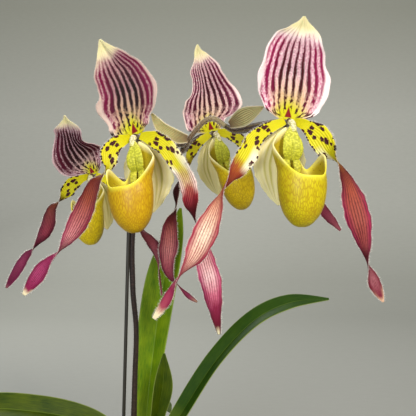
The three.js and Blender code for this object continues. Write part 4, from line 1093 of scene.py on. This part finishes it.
# %% Rings along a stem
def stem_rings(rows, along, sides, ribs=0, depth=0.0):
    part = np.linspace(0, 1, along + 1)
    across = np.array([1.0, 0.0, 0.0])
    turn = 2 * np.pi * np.arange(sides) / sides
    swell = 1 + depth * np.cos(ribs * turn)
    rings = []
    for centre, way in zip(row_at(rows, part), run_at(rows, part)):
        across = unit(across - (across @ way) * way)
        other = np.cross(way, across)
        around = np.cos(turn)[:, None] * across + np.sin(turn)[:, None] * other
        rings.append(centre[:3] + centre[3] * swell[:, None] * around)
    return np.stack(rings)


# %% [markdown]
# The column stands in the middle of each bloom: a short white stub, downy all over, that carries
# the staminode, a lime shield with a grainy face. The down scatters light, so the finish is
# rough, with a little sheen, and grains of one millimetre, coarser than the real ones so that
# they show. The colour runs from cream at the stub to lime on the shield.

# %% Finish of the column
downy, put = new_finish("downy_lime_column")
grain = put("TexVoronoi", named={"Vector": put("TexCoord", out="Object"), "Scale": 1000.0},
            feature="SMOOTH_F1")
skin = put("ValToRGB", put("along"), stops=[
    (0.0, "#f4efd8"), (0.18, "#ece4bc"), (0.27, "#dcd868"), (0.42, "#cccc3c"), (0.75, "#c2c22c"),
    (1.0, "#d0c83a")])
skin = put("MixRGB", put("MapRange", grain, 0.25, 0.55, 0.0, 0.6), skin, "#85880c")
bump = put("Bump", named={"Height": grain, "Strength": 0.6, "Distance": 0.0004})
dress(downy, Base_Color=skin, Normal=bump, Roughness=0.55, IOR=1.4, Subsurface_Weight=0.15,
      Subsurface_Radius=(0.0008, 0.0008, 0.0003), Subsurface_Scale=1.0, Sheen_Weight=0.1)

# %% [markdown]
# The shield has a groove in its lower half, and two small lobes hang under it. The shield and
# the lobes are pillows: blades whose thickness swells towards the middle. That gives a round
# edge all the way, which a flat blade would not have.

# %% Shape of the column
SHIELD_ROWS = [
    (0, -4.2, -3.2, 1.4, 1.4, 0, 20), (0, -5.2, -6.2, 3, 3, 0, 20), (0, -6.6, -10, 4.9, 4.9, 0, 22),
    (0, -7.5, -14.5, 6, 6, 0, 22), (0, -7.4, -18.2, 5.9, 5.9, 0, 20), (0, -6.7, -21, 4.5, 4.5, 0, 18),
    (0, -6.2, -22.2, 2.8, 2.8, 0, 15)]
LOBE_ROWS = [(2.6, -5.6, -20.5, 1.8, 1.8, 0, 10), (3.0, -6.6, -24, 2.3, 2.3, 0, 20),
             (3.2, -7.2, -27.5, 2, 2, 0, 20), (3.3, -7.4, -29.5, 0.8, 0.8, 0, 10)]
COLUMN_ROWS = [(0, -0.8, -1.0, 1.5), (0, -2.6, -1.1, 1.8), (0, -4.5, -3.2, 1.8), (0, -5.7, -7, 1.6)]
SHIELD_THICK, LOBE_THICK = 1.5, 1.2
PILLOW_EDGE, PILLOW_BACK = 0.05, 0.4        # shares of the thickness left at the edge and behind


def shield_groove(blade):
    return -0.7 * np.exp(-(blade["across"] / 0.12) ** 2) * np.clip((blade["along"] - 0.5) / 0.2, 0, 1)


def pillow(rows, along, across, thick, relief=None):
    blade = sweep_blade(rows, along, across)
    swell = PILLOW_EDGE + (np.sqrt(np.clip(1 - blade["across"] ** 2, 0, 1))
                           * np.sqrt(np.clip(np.sin(np.pi * blade["along"]), 0, 1)))
    normal = normals(blade["grid"])
    raised = relief(blade) if relief else 0
    front = blade["grid"] + normal * (thick * swell + raised)[..., None]
    back = blade["grid"] - normal * (PILLOW_BACK * thick * swell)[..., None]
    points, faces = tube(np.concatenate([front, back[:, ::-1]], axis=1))
    marks = np.concatenate([blade["along"], blade["along"][:, ::-1]], axis=1)
    return points, faces, marks


# %% [markdown]
# The stub, the shield and the two lobes are joined into one piece for each bloom. Their heights
# are laid one after the other on one scale, so that one colour ramp can run through all of them.

# %% Columns
COLUMN_LEAN = 1.8           # the shield leans to the claw's side
STUB_SIDES = 20

for plan in BLOOMS:
    name = f"{plan['name']}_column"
    lean = -np.sign(plan["turn"]) * COLUMN_LEAN
    narrow = plan["shield"]
    rows = [(lean * min(1, (-2.5 - z) / 8), y, z, half * narrow, half * narrow, twist, cup)
            for _, y, z, half, _, twist, cup in SHIELD_ROWS]
    points, faces, marks = pillow(rows, 48, 32, SHIELD_THICK, shield_groove)
    parts = [(points, faces, [*(0.25 + 0.5 * marks).ravel(), 0.25, 0.75])]
    for mirror in (1, -1):
        rows = [(lean + narrow * mirror * x, *rest) for x, *rest in LOBE_ROWS]
        points, faces, marks = pillow(rows, 14, 12, LOBE_THICK)
        parts.append((points, faces, [*(0.8 + 0.2 * marks).ravel(), 0.8, 1.0]))
    rings = stem_rings(COLUMN_ROWS, 16, STUB_SIDES)
    heights = np.repeat(np.linspace(0, 0.24, len(rings)), STUB_SIDES)
    parts.append((*tube(rings), [*heights, 0, 0.24]))
    points, faces, heights = [], [], []
    for body, its_faces, its_heights in parts:
        faces += [[k + len(points) for k in face] for face in its_faces]
        points += np.asarray(body).tolist()
        heights += list(its_heights)
    placed = turned(plan, np.array(points) * plan["size"])
    piece(f"{name}_tissue", placed, faces, downy, replaces=name, marks={"along": heights})
print("columns:", len(BLOOMS))

# %% [markdown]
# Behind each bloom is its ovary, a six-ribbed stalk, brown with olive between the ribs. At its
# foot sits a small hooded leaf, the bract, papery and olive with brown veins and a pale margin.
# Both are downy, which takes the shine away and leaves a soft sheen where the surface turns
# from the eye. The mottling of the ovary is two millimetres across, and the bract's is four.

# %% Finishes of the ovary and the bract
OVARY_RIBS = 6
BRACT_VEINS = 4.5           # veins on either side of the bract's midrib

ribbed, put = new_finish("ribbed_ovary")
wave = put("COSINE", put("MULTIPLY", put("across"), OVARY_RIBS * 2 * np.pi))
cloud = put("TexNoise", named={"Vector": put("TexCoord", out="Object"), "Scale": 500.0, "Detail": 3.0})
skin = put("MixRGB", put("MapRange", wave, -0.3, 0.6), "#2c1712", "#6d5a24")
skin = put("MixRGB", put("MapRange", cloud, 0.4, 0.7, 0.0, 0.6), skin, "#3a1a16")
dress(ribbed, Base_Color=skin, Roughness=0.6, Sheen_Weight=0.3,
      Normal=put("Bump", named={"Height": cloud, "Strength": 0.4, "Distance": 0.0002}))

olive, put = new_finish("olive_bract")
across = put("across")
wave = put("COSINE", put("MULTIPLY", across, BRACT_VEINS * 2 * np.pi))
cloud = put("TexNoise", named={"Vector": put("TexCoord", out="Object"), "Scale": 260.0, "Detail": 3.0})
skin = put("MixRGB", cloud, "#a8a468", "#d2ca88")
skin = put("MixRGB", put("MapRange", wave, 0.0, 0.9, 0.0, 0.8), skin, "#6b4a24")
skin = put("MixRGB", put("MapRange", put("along"), 0.45, 0.0, 0.0, 0.8), skin, "#5a3220")
skin = put("MixRGB", put("MapRange", put("ABSOLUTE", across), 0.8, 1.0, 0.0, 0.85), skin, "#ece2b8")
dress(olive, Base_Color=skin, Roughness=0.5, Subsurface_Weight=0.15, Subsurface_Scale=0.001,
      Sheen_Weight=0.2, Normal=put("Bump", named={"Height": wave, "Strength": 0.3, "Distance": 0.0003}))

# %% [markdown]
# The ovary is a stem that ends at the bloom's own place, and its ribs are in the rings. The bract
# is a deeply cupped blade that clasps it. Both get their hairs: all over the ovary, and along the
# margins of the bract.

# %% Ovaries and bracts
STALK_ENDS = [(0, 6, -0.8, 2.2), (0, -0.1, -0.2, 1.9)]
OVARY_STEPS, OVARY_SIDES, OVARY_HAIRS = 60, 36, 1400
BRACT_CUP = 40
BRACT_THICK = 0.6


def bract_veins(blade):
    return 0.08 * np.cos(2 * np.pi * BRACT_VEINS * blade["across"])


for number, plan in enumerate(BLOOMS):
    name = f"{plan['name']}_ovary"
    ends = [(*turned(plan, end[:3]), end[3]) for end in STALK_ENDS]
    rings = stem_rings([*plan["stalk"], *ends], OVARY_STEPS, OVARY_SIDES, ribs=OVARY_RIBS, depth=0.07)
    points, faces = tube(rings)
    around = np.tile(np.arange(OVARY_SIDES) / OVARY_SIDES, len(rings))
    piece(f"{name}_tissue", points, faces, ribbed, replaces=name,
          marks={"across": [*around, 0, 0]})
    rng = np.random.default_rng(300 + number)
    rows = rng.integers(2, OVARY_STEPS - 2, OVARY_HAIRS)
    roots = rings[rows, rng.integers(0, OVARY_SIDES, OVARY_HAIRS)]
    plant_hairs(f"{name}_hairs", roots, unit(roots - rings[rows].mean(axis=1)), length=0.9,
                radius=0.035, finish=hair_white, seed=310 + number)

    name = f"{plan['name']}_bract"
    rows = [(x, y, z, half, half, twist, BRACT_CUP) for x, y, z, half, twist in plan["bract"]]
    blade = sweep_blade(rows, along=44, across=30)
    points, faces, marks = thicken(blade, BRACT_THICK, relief=bract_veins)
    piece(f"{name}_tissue", points, faces, olive, replaces=name, marks=marks)
    roots, ways = margin_roots(blade, spacing=0.16, seed=320 + number)
    plant_hairs(f"{name}_hairs", roots, ways, length=1.0, radius=0.04, finish=hair_white,
                seed=330 + number)
print("ovaries and bracts:", len(BLOOMS))

# %% [markdown]
# The flower stem is green where it leaves the crown, then dark maroon, nearly black, and paler
# again at the bend. It is felted with short hairs, so it has hardly any highlight. It thickens a
# little at each node, which the radius in each row says. The mottling is 1.4 mm across. The
# hairs are dark below and white above, in two pieces.

# %% Flower stem
SCAPE = [
    (-8, -15, 72, 2), (-8, -15, 90, 2), (-8, -15, 108, 2), (-7, -16, 145, 1.7), (-6, -17, 177, 1.6),
    (-8, -18.5, 205, 1.7), (-7.5, -19.5, 244, 1.9), (3, -20, 266, 1.7), (17, -21, 281, 1.6),
    (27, -22, 297, 1.6), (37, -23, 309, 1.5), (44, -24, 311, 1.5), (51, -26, 306, 1.5)]
SCAPE_STEPS, SCAPE_SIDES = 240, 24
SCAPE_HAIRS = [             # name, from ring, to ring, how many, finish
    ("lower", 40, 160, 5200, hair_dark), ("upper", 150, 239, 3800, hair_white)]

scape_finish, put = new_finish("hairy_flower_stem")
cloud = put("TexNoise", named={"Vector": put("TexCoord", out="Object"), "Scale": 700.0, "Detail": 4.0})
skin = put("ValToRGB", put("along"), stops=[
    (0.0, "#3a4a1c"), (0.12, "#2c200c"), (0.25, "#1f1408"), (0.5, "#150c0c"), (0.68, "#1c0e0c"),
    (0.80, "#6a5638"), (1.0, "#a49468")])
skin = put("MixRGB", put("MapRange", cloud, 0.45, 0.75, 0.0, 0.3), skin, "#5e4238")
dress(scape_finish, Base_Color=skin, Roughness=0.6, Specular_IOR_Level=0.3, Sheen_Weight=0.08,
      Normal=put("Bump", named={"Height": cloud, "Strength": 0.5, "Distance": 0.0002}))

rings = stem_rings(SCAPE, SCAPE_STEPS, SCAPE_SIDES)
points, faces = tube(rings)
heights = np.repeat(np.linspace(0, 1, len(rings)), SCAPE_SIDES)
piece("flower_stem_tissue", points, faces, scape_finish, replaces="flower_stem",
      marks={"along": [*heights, 0, 1]})
for part, low, high, count, finish in SCAPE_HAIRS:
    rng = np.random.default_rng(400 + count)
    rows = rng.integers(low, high, count)
    roots = rings[rows, rng.integers(0, SCAPE_SIDES, count)]
    plant_hairs(f"flower_stem_{part}_hairs", roots, unit(roots - rings[rows].mean(axis=1)), length=0.8,
                radius=0.035, finish=finish, seed=410 + count)
print("flower stem:", len(faces), "faces")

# %% [markdown]
# A stake holds the heavy stem up: a thin cane, split and stained nearly black. Splitting leaves
# long fibres, so its noise is stretched: half a millimetre across the cane and forty along it.
# It is a plain straight stem. The soft flat tie is vinyl, pressed and slightly grainy. The packed
# model's own tie already has the right shape, so it is kept and only dressed.

# %% Stake and tie
STAKE_FOOT, STAKE_TOP, STAKE_RADIUS = (-17, -14, 22), (-9.6, -23, 258), 1.1

cane, put = new_finish("stained_split_cane")
stretched = put("VectorMath", put("TexCoord", out="Object"), (1800.0, 1800.0, 25.0), operation="MULTIPLY")
fibres = put("TexNoise", named={"Vector": stretched, "Scale": 1.0, "Detail": 3.0})
dress(cane, Base_Color=put("MixRGB", fibres, "#11110c", "#2f2c22"), Roughness=0.45,
      Normal=put("Bump", named={"Height": fibres, "Strength": 0.3, "Distance": 0.0002}))
points, faces = tube(stem_rings([(*STAKE_FOOT, STAKE_RADIUS), (*STAKE_TOP, STAKE_RADIUS)], 60, 20))
piece("stake_cane", points, faces, cane, replaces="stake")

soft_tie, put = new_finish("soft_vinyl_tie")
cloud = put("TexNoise", named={"Vector": put("TexCoord", out="Object"), "Scale": 900.0, "Detail": 3.0})
dress(soft_tie, Base_Color=put("MixRGB", cloud, "#2a2f1c", "#3c4228"), Roughness=0.5,
      Normal=put("Bump", named={"Height": cloud, "Strength": 0.3, "Distance": 0.0002}))
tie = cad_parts["tie"]
tie.data.materials.clear()
tie.data.materials.append(soft_tie)
print("stake:", STAKE_TOP[2] - STAKE_FOOT[2], "mm of cane")

# %% [markdown]
# The leaves are thick and leathery, with a wax coat that gives a long, soft highlight. The green
# runs in streaks half a millimetre wide along the leaf, over lighter patches a centimetre across.
# The underside, the midrib, the margins and the foot of the leaf are paler. One recipe makes the
# three greens, for leaves in the light and in the shade.

# %% Finish of the leaves
def leaf_tissue(name, dark, light, roughness):
    material, put = new_finish(name)
    mm_across, mm_along, aside = put("mm_across"), put("mm_along"), put("ABSOLUTE", put("across"))
    place = put("CombineXYZ", mm_across, put("MULTIPLY", mm_along, 0.06))
    streaks = put("TexNoise", named={"Vector": place, "Scale": 2.2, "Detail": 3.0})
    place = put("CombineXYZ", mm_across, mm_along)
    patches = put("TexNoise", named={"Vector": place, "Scale": 0.08, "Detail": 3.0})
    mix = put("ADD", put("MapRange", streaks, 0.3, 0.7, 0.0, 0.55),
              put("MapRange", patches, 0.35, 0.7, 0.0, 0.45))
    skin = put("MixRGB", mix, dark, light)
    skin = put("MixRGB", put("MapRange", put("along"), 0.25, 0.0, 0.0, 0.7), skin, "#8a9a34")
    skin = put("MixRGB", put("MULTIPLY", put("under"), 0.35), skin, "#6f8a3a")
    skin = put("MixRGB", put("MapRange", aside, 0.94, 1.0, 0.0, 0.5), skin, "#9aa552")
    skin = put("MixRGB", put("MapRange", aside, 0.06, 0.0, 0.0, 0.4), skin, "#6f8430")
    bump = put("Bump", named={"Height": streaks, "Strength": 0.25, "Distance": 0.0004})
    return dress(material, Base_Color=skin, Normal=bump, Roughness=roughness, Specular_IOR_Level=0.14,
                 Subsurface_Weight=0.1, Subsurface_Radius=(0.0004, 0.0008, 0.0002),
                 Subsurface_Scale=1.0)


leaf_finish = leaf_tissue("strap_leaf", "#3e680a", "#80980f", 0.42)
leaf_olive = leaf_tissue("strap_leaf_olive", "#1c3200", "#465400", 0.55)
leaf_shaded = leaf_tissue("strap_leaf_shaded", "#163400", "#2c4604", 0.6)
print("leaf finishes: 3")

# %% [markdown]
# A strap leaf is folded along its midrib like a half-open book, which keeps it stiff. A bent
# plane would do from one side only. Here the same blade is swept as for a petal, but with a keel:
# the two halves stay flat and meet at an angle that opens towards the tip.

# %% Leaves
LEAF_THICK = 1.1
LEAVES = {                  # x, y, z, half width, turn and fold in each row
    "leaf_tall": [
        (-2, -7, 94, 4.5, 20, 45), (0, -2, 126, 10.5, 20, 38), (4.2, 4, 166, 12.8, 18, 32),
        (9.7, 9, 205, 12.8, 15, 28), (16, 12, 234, 8.2, 10, 22), (21, 13, 255, 0.8, 0, 15)],
    "leaf_small": [
        (2, -11, 94, 4, -10, 45), (7, -13, 121, 6, -10, 40), (11, -16, 142, 7, -10, 30),
        (12, -18, 162, 0.8, 0, 15)],
    "leaf_right": [
        (6, -14, 94, 4.5, 20, 45), (24, -18, 125, 6.6, 35, 32), (46, -21, 159, 7.4, 50, 26),
        (69, -24, 184, 7.6, 56, 20), (91, -26, 195.5, 6.2, 54, 16), (115, -28, 198.5, 0.8, 50, 12)],
    "leaf_left": [
        (-8, -16, 92, 4, 0, 45), (-19, -27, 112, 7, -30, 35), (-35, -33, 124, 9, -50, 30),
        (-63, -38, 132, 10, -56, 25), (-97, -43, 135, 9.8, -58, 20), (-132, -50, 127, 7, -60, 20),
        (-165, -55, 111, 0.8, -60, 15)],
    "leaf_front_left": [
        (-4, -19, 92, 3.2, 0, 45), (-8, -40, 108, 8, 10, 35), (-22, -66, 116, 9.5, 20, 25),
        (-38, -90, 108, 8, 20, 20), (-50, -108, 92, 0.8, 20, 15)],
    "leaf_front_right": [
        (3, -20, 92, 3.2, 0, 45), (18, -41, 108, 8, -10, 35), (46, -58, 116, 9.5, -20, 25),
        (70, -80, 108, 8.5, -20, 20), (88, -96, 92, 0.8, -20, 15)],
    "leaf_back": [
        (-4, -7, 92, 4, 180, 45), (0, 14, 101, 6, 180, 30), (3, 38, 102, 6.5, 180, 22),
        (6, 62, 98, 6, 180, 20), (9, 84, 86, 0.8, 180, 15)],
}
OTHER_GREENS = {"leaf_right": leaf_shaded, "leaf_small": leaf_olive, "leaf_left": leaf_olive}

for name, rows in LEAVES.items():
    rows = [(x, y, z, half, half, twist, fold) for x, y, z, half, twist, fold in rows]
    blade = sweep_blade(rows, along=110, across=24, keel=True)
    points, faces, marks = thicken(blade, LEAF_THICK, margin=0.3)
    piece(f"{name}_blade", points, faces, OTHER_GREENS.get(name, leaf_finish), replaces=name,
          marks=marks)
print("leaves:", len(LEAVES))

# %% [markdown]
# The crown is where the leaves clasp each other: flat sheaths, one inside the next, pale green
# above and brown and papery below. Fine ribs run up them, and a noise of five millimetres makes
# the edge between green and brown uneven.

# %% Finish of the crown
sheath_finish, put = new_finish("leaf_sheath")
wave = put("SINE", put("MULTIPLY", put("across"), 60.0))
cloud = put("TexNoise", named={"Vector": put("TexCoord", out="Object"), "Scale": 200.0, "Detail": 4.0})
skin = put("ValToRGB", put("MULTIPLY_ADD", cloud, 0.2, put("along")), stops=[
    (0.1, "#4a3018"), (0.35, "#7a5a2c"), (0.55, "#98963a"), (1.0, "#93a53c")])
skin = put("MixRGB", put("MapRange", wave, 0.3, 1.0, 0.0, 0.3), skin, "#6b7a2a")
dress(sheath_finish, Base_Color=skin, Roughness=0.45,
      Normal=put("Bump", named={"Height": wave, "Strength": 0.2, "Distance": 0.0003}))

# %% [markdown]
# Most of the crown is hidden by the leaves, so separate sheaths would be wasted. One oval body
# with five soft folds round it gives their edges.

# %% Crown
CROWN_AT = np.array([-3.0, -12.0])
CROWN_ROWS = [(66, 8, 6), (76, 10, 8), (88, 11.3, 9.5), (97, 10.5, 8.5), (102, 8, 5.5)]
CROWN_SIDES, CROWN_STEPS = 96, 60
CROWN_FOLDS, FOLD_HEIGHT = 5, 0.035

turn = 2 * np.pi * np.arange(CROWN_SIDES) / CROWN_SIDES
fold = np.sin(CROWN_FOLDS * turn + 0.6)
folds = 1 + FOLD_HEIGHT * np.sign(fold) * np.abs(fold) ** 0.4
rings = np.stack([
    np.stack([CROWN_AT[0] + long * folds * np.cos(turn), CROWN_AT[1] + deep * folds * np.sin(turn),
              np.full(CROWN_SIDES, z)], axis=1)
    for z, long, deep in smooth_table(CROWN_ROWS, CROWN_STEPS)])
points, faces = tube(rings)
marks = {"along": [*np.repeat(np.linspace(0, 1, len(rings)), CROWN_SIDES), 0, 1],
         "across": [*np.tile(turn / np.pi - 1, len(rings)), 0, 0]}
piece("crown_sheaths", points, faces, sheath_finish, replaces="crown", marks=marks)
print("crown:", len(faces), "faces")

# %% [markdown]
# The pot is injection-moulded polypropylene: an even satin skin with a fine grain from the mould
# and a little dust. Real mould grain is under a tenth of a millimetre, so it is drawn at 0.4 mm
# to show at all. The pot could be made with a screw modifier. It is turned here from one profile
# whose corners are rounded, because a sharp edge would not catch the light as moulded plastic does.

# %% Pot
POT_HEIGHT, POT_RIM_HEIGHT, POT_WALL = 93, 14, 2.2
POT_RIM_RADIUS, POT_NECK_RADIUS, POT_FOOT_RADIUS = 54, 50, 38
POT_SIDES = 144
POT_AXIS = 0.01             # the profile starts this far from the axis, so no face is flat


def rounded(corners, radius=0.9, steps=5):
    """A profile through corners, each of them rounded off."""
    corners = np.array(corners, float)
    line = [corners[0]]
    for before, corner, after in zip(corners, corners[1:], corners[2:]):
        reach = min(radius, *(0.45 * np.linalg.norm(end - corner) for end in (before, after)))
        start, end = corner + unit(before - corner) * reach, corner + unit(after - corner) * reach
        for k in np.linspace(0, 1, steps):
            line.append((1 - k) ** 2 * start + 2 * k * (1 - k) * corner + k**2 * end)
    return np.array([*line, corners[-1]])


def round_rings(profile):
    turn = 2 * np.pi * np.arange(POT_SIDES) / POT_SIDES
    return np.stack([
        np.stack([r * np.cos(turn), r * np.sin(turn), np.full(POT_SIDES, z)], axis=1)
        for r, z in profile])


shoulder = POT_HEIGHT - POT_RIM_HEIGHT
points, faces = tube(round_rings(rounded([
    (POT_AXIS, 0), (POT_FOOT_RADIUS, 0), (POT_NECK_RADIUS, shoulder), (POT_RIM_RADIUS, shoulder),
    (POT_RIM_RADIUS, POT_HEIGHT), (POT_NECK_RADIUS, POT_HEIGHT),
    (POT_NECK_RADIUS - POT_WALL, shoulder), (POT_FOOT_RADIUS - POT_WALL, POT_WALL),
    (POT_AXIS, POT_WALL)])))

moulded, put = new_finish("moulded_polypropylene")
spot = put("TexCoord", out="Object")
grain = put("TexNoise", named={"Vector": spot, "Scale": 2500.0, "Detail": 2.0})
dust = put("TexNoise", named={"Vector": spot, "Scale": 40.0, "Detail": 5.0})
skin = put("MixRGB", put("MapRange", dust, 0.5, 0.75, 0.0, 0.35), "#26262a", "#4a4a48")
dress(moulded, Base_Color=skin, Roughness=0.48,
      Normal=put("Bump", named={"Height": grain, "Strength": 0.15, "Distance": 0.0002}))
piece("pot_shell", points, faces, moulded, replaces="pot")
print("pot:", len(faces), "faces")

# %% [markdown]
# The plant grows in chips of pine bark, broken and weathered. Bark is dry and quite rough, so it
# has no highlight at all. Its corky layers are about six millimetres apart. Every chip has its
# own tone between dark, wet brown and dry tan, which is what keeps a heap of chips from looking
# like one lump.

# %% Finish of the bark
bark_finish, put = new_finish("pine_bark")
layers = put("TexNoise", named={"Vector": put("TexCoord", out="Object"), "Scale": 160.0, "Detail": 6.0,
                                "Roughness": 0.65})
skin = put("ValToRGB", put("along"), stops=[
    (0.0, "#2e1a10"), (0.5, "#5c3822"), (0.8, "#7d5333"), (1.0, "#9a7450")])
skin = put("MixRGB", put("MapRange", layers, 0.4, 0.65, 0.0, 0.8), skin, "#241209")
dress(bark_finish, Base_Color=skin, Roughness=0.88,
      Normal=put("Bump", named={"Height": layers, "Strength": 0.8, "Distance": 0.0008}))

# %% [markdown]
# A physics drop could pour the chips in, but it would come out a little different each time. So
# the chips are ragged seven-sided slabs strewn by a seeded generator over a solid bed, and the
# places of the crown and the stake are left free. They stay flat-shaded, because broken bark has
# sharp edges.

# %% Bark
BARK_LEVEL = 84
BARK_EDGE, EDGE_GAP = 47, 3.5
BED = [                     # radius and height
    (20, 6), (46, BARK_LEVEL - 8), (47.2, BARK_LEVEL - 3), (30, BARK_LEVEL - 2.5),
    (1, BARK_LEVEL - 2.5)]
CROWN_CLEAR = (13.5, 11.5)
STAKE_AT, STAKE_CLEAR = (-15, -17), 4
CHIP_COUNT, CHIP_SIDES = 520, 7
CHIP_HEIGHTS = (-3.2, 1.6)
CHIP_LENGTH, CHIP_WIDTH, CHIP_THICK = (3.5, 8.5), (2.5, 5), (1.0, 2.6)
CHIP_LAYERS = [(-0.5, 0.75), (-0.35, 1), (0.3, 0.95), (0.5, 0.65)]      # lift and width of its rings

rng = np.random.default_rng(7)
bed_points, faces = tube(round_rings(BED))
points, tones = bed_points.tolist(), [0.05] * len(bed_points)
chip_turn = 2 * np.pi * np.arange(CHIP_SIDES) / CHIP_SIDES
for _ in range(CHIP_COUNT):
    radius = BARK_EDGE * np.sqrt(rng.uniform()) - EDGE_GAP
    angle = rng.uniform(0, 2 * np.pi)
    height = BARK_LEVEL + rng.uniform(*CHIP_HEIGHTS)
    centre = np.array([radius * np.cos(angle), radius * np.sin(angle), height])
    if (np.linalg.norm((centre[:2] - CROWN_AT) / CROWN_CLEAR) < 1
            or np.linalg.norm(centre[:2] - STAKE_AT) < STAKE_CLEAR):
        continue
    length, width, thick = (rng.uniform(*size) for size in (CHIP_LENGTH, CHIP_WIDTH, CHIP_THICK))
    axis = unit(rng.normal(size=3) * [1, 1, 0.35])
    side = unit(np.cross(axis, [0, 0, 1]) + 0.3 * rng.normal(size=3))
    up = unit(np.cross(axis, side))
    side = np.cross(up, axis)
    outline = 1 + 0.25 * rng.normal(size=CHIP_SIDES)
    rings = []
    for lift, share in CHIP_LAYERS:
        ragged = outline * share * (1 + 0.08 * rng.normal(size=CHIP_SIDES))
        rings.append(centre + np.outer(ragged * np.cos(chip_turn) * length / 2, axis)
                     + np.outer(ragged * np.sin(chip_turn) * width / 2, side) + lift * thick * up)
    body, its_faces = tube(np.stack(rings))
    faces += [[k + len(points) for k in face] for face in its_faces]
    points += body.tolist()
    tones += [rng.uniform(0.1, 1.0)] * len(body)
piece("bark_chips", points, faces, bark_finish, replaces="bark", marks={"along": tones},
      smooth=False)
print("bark:", len(faces), "faces")

# %% [markdown]
# Last, the size of the dressed plant is printed beside the imported model's.

# %% Sizes and finish
visual_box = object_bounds()
for label, a, b in zip("xyz", zip(*cad_box), zip(*visual_box)):
    print(label, "CAD", [round(x, 4) for x in a], "dressed", [round(x, 4) for x in b])
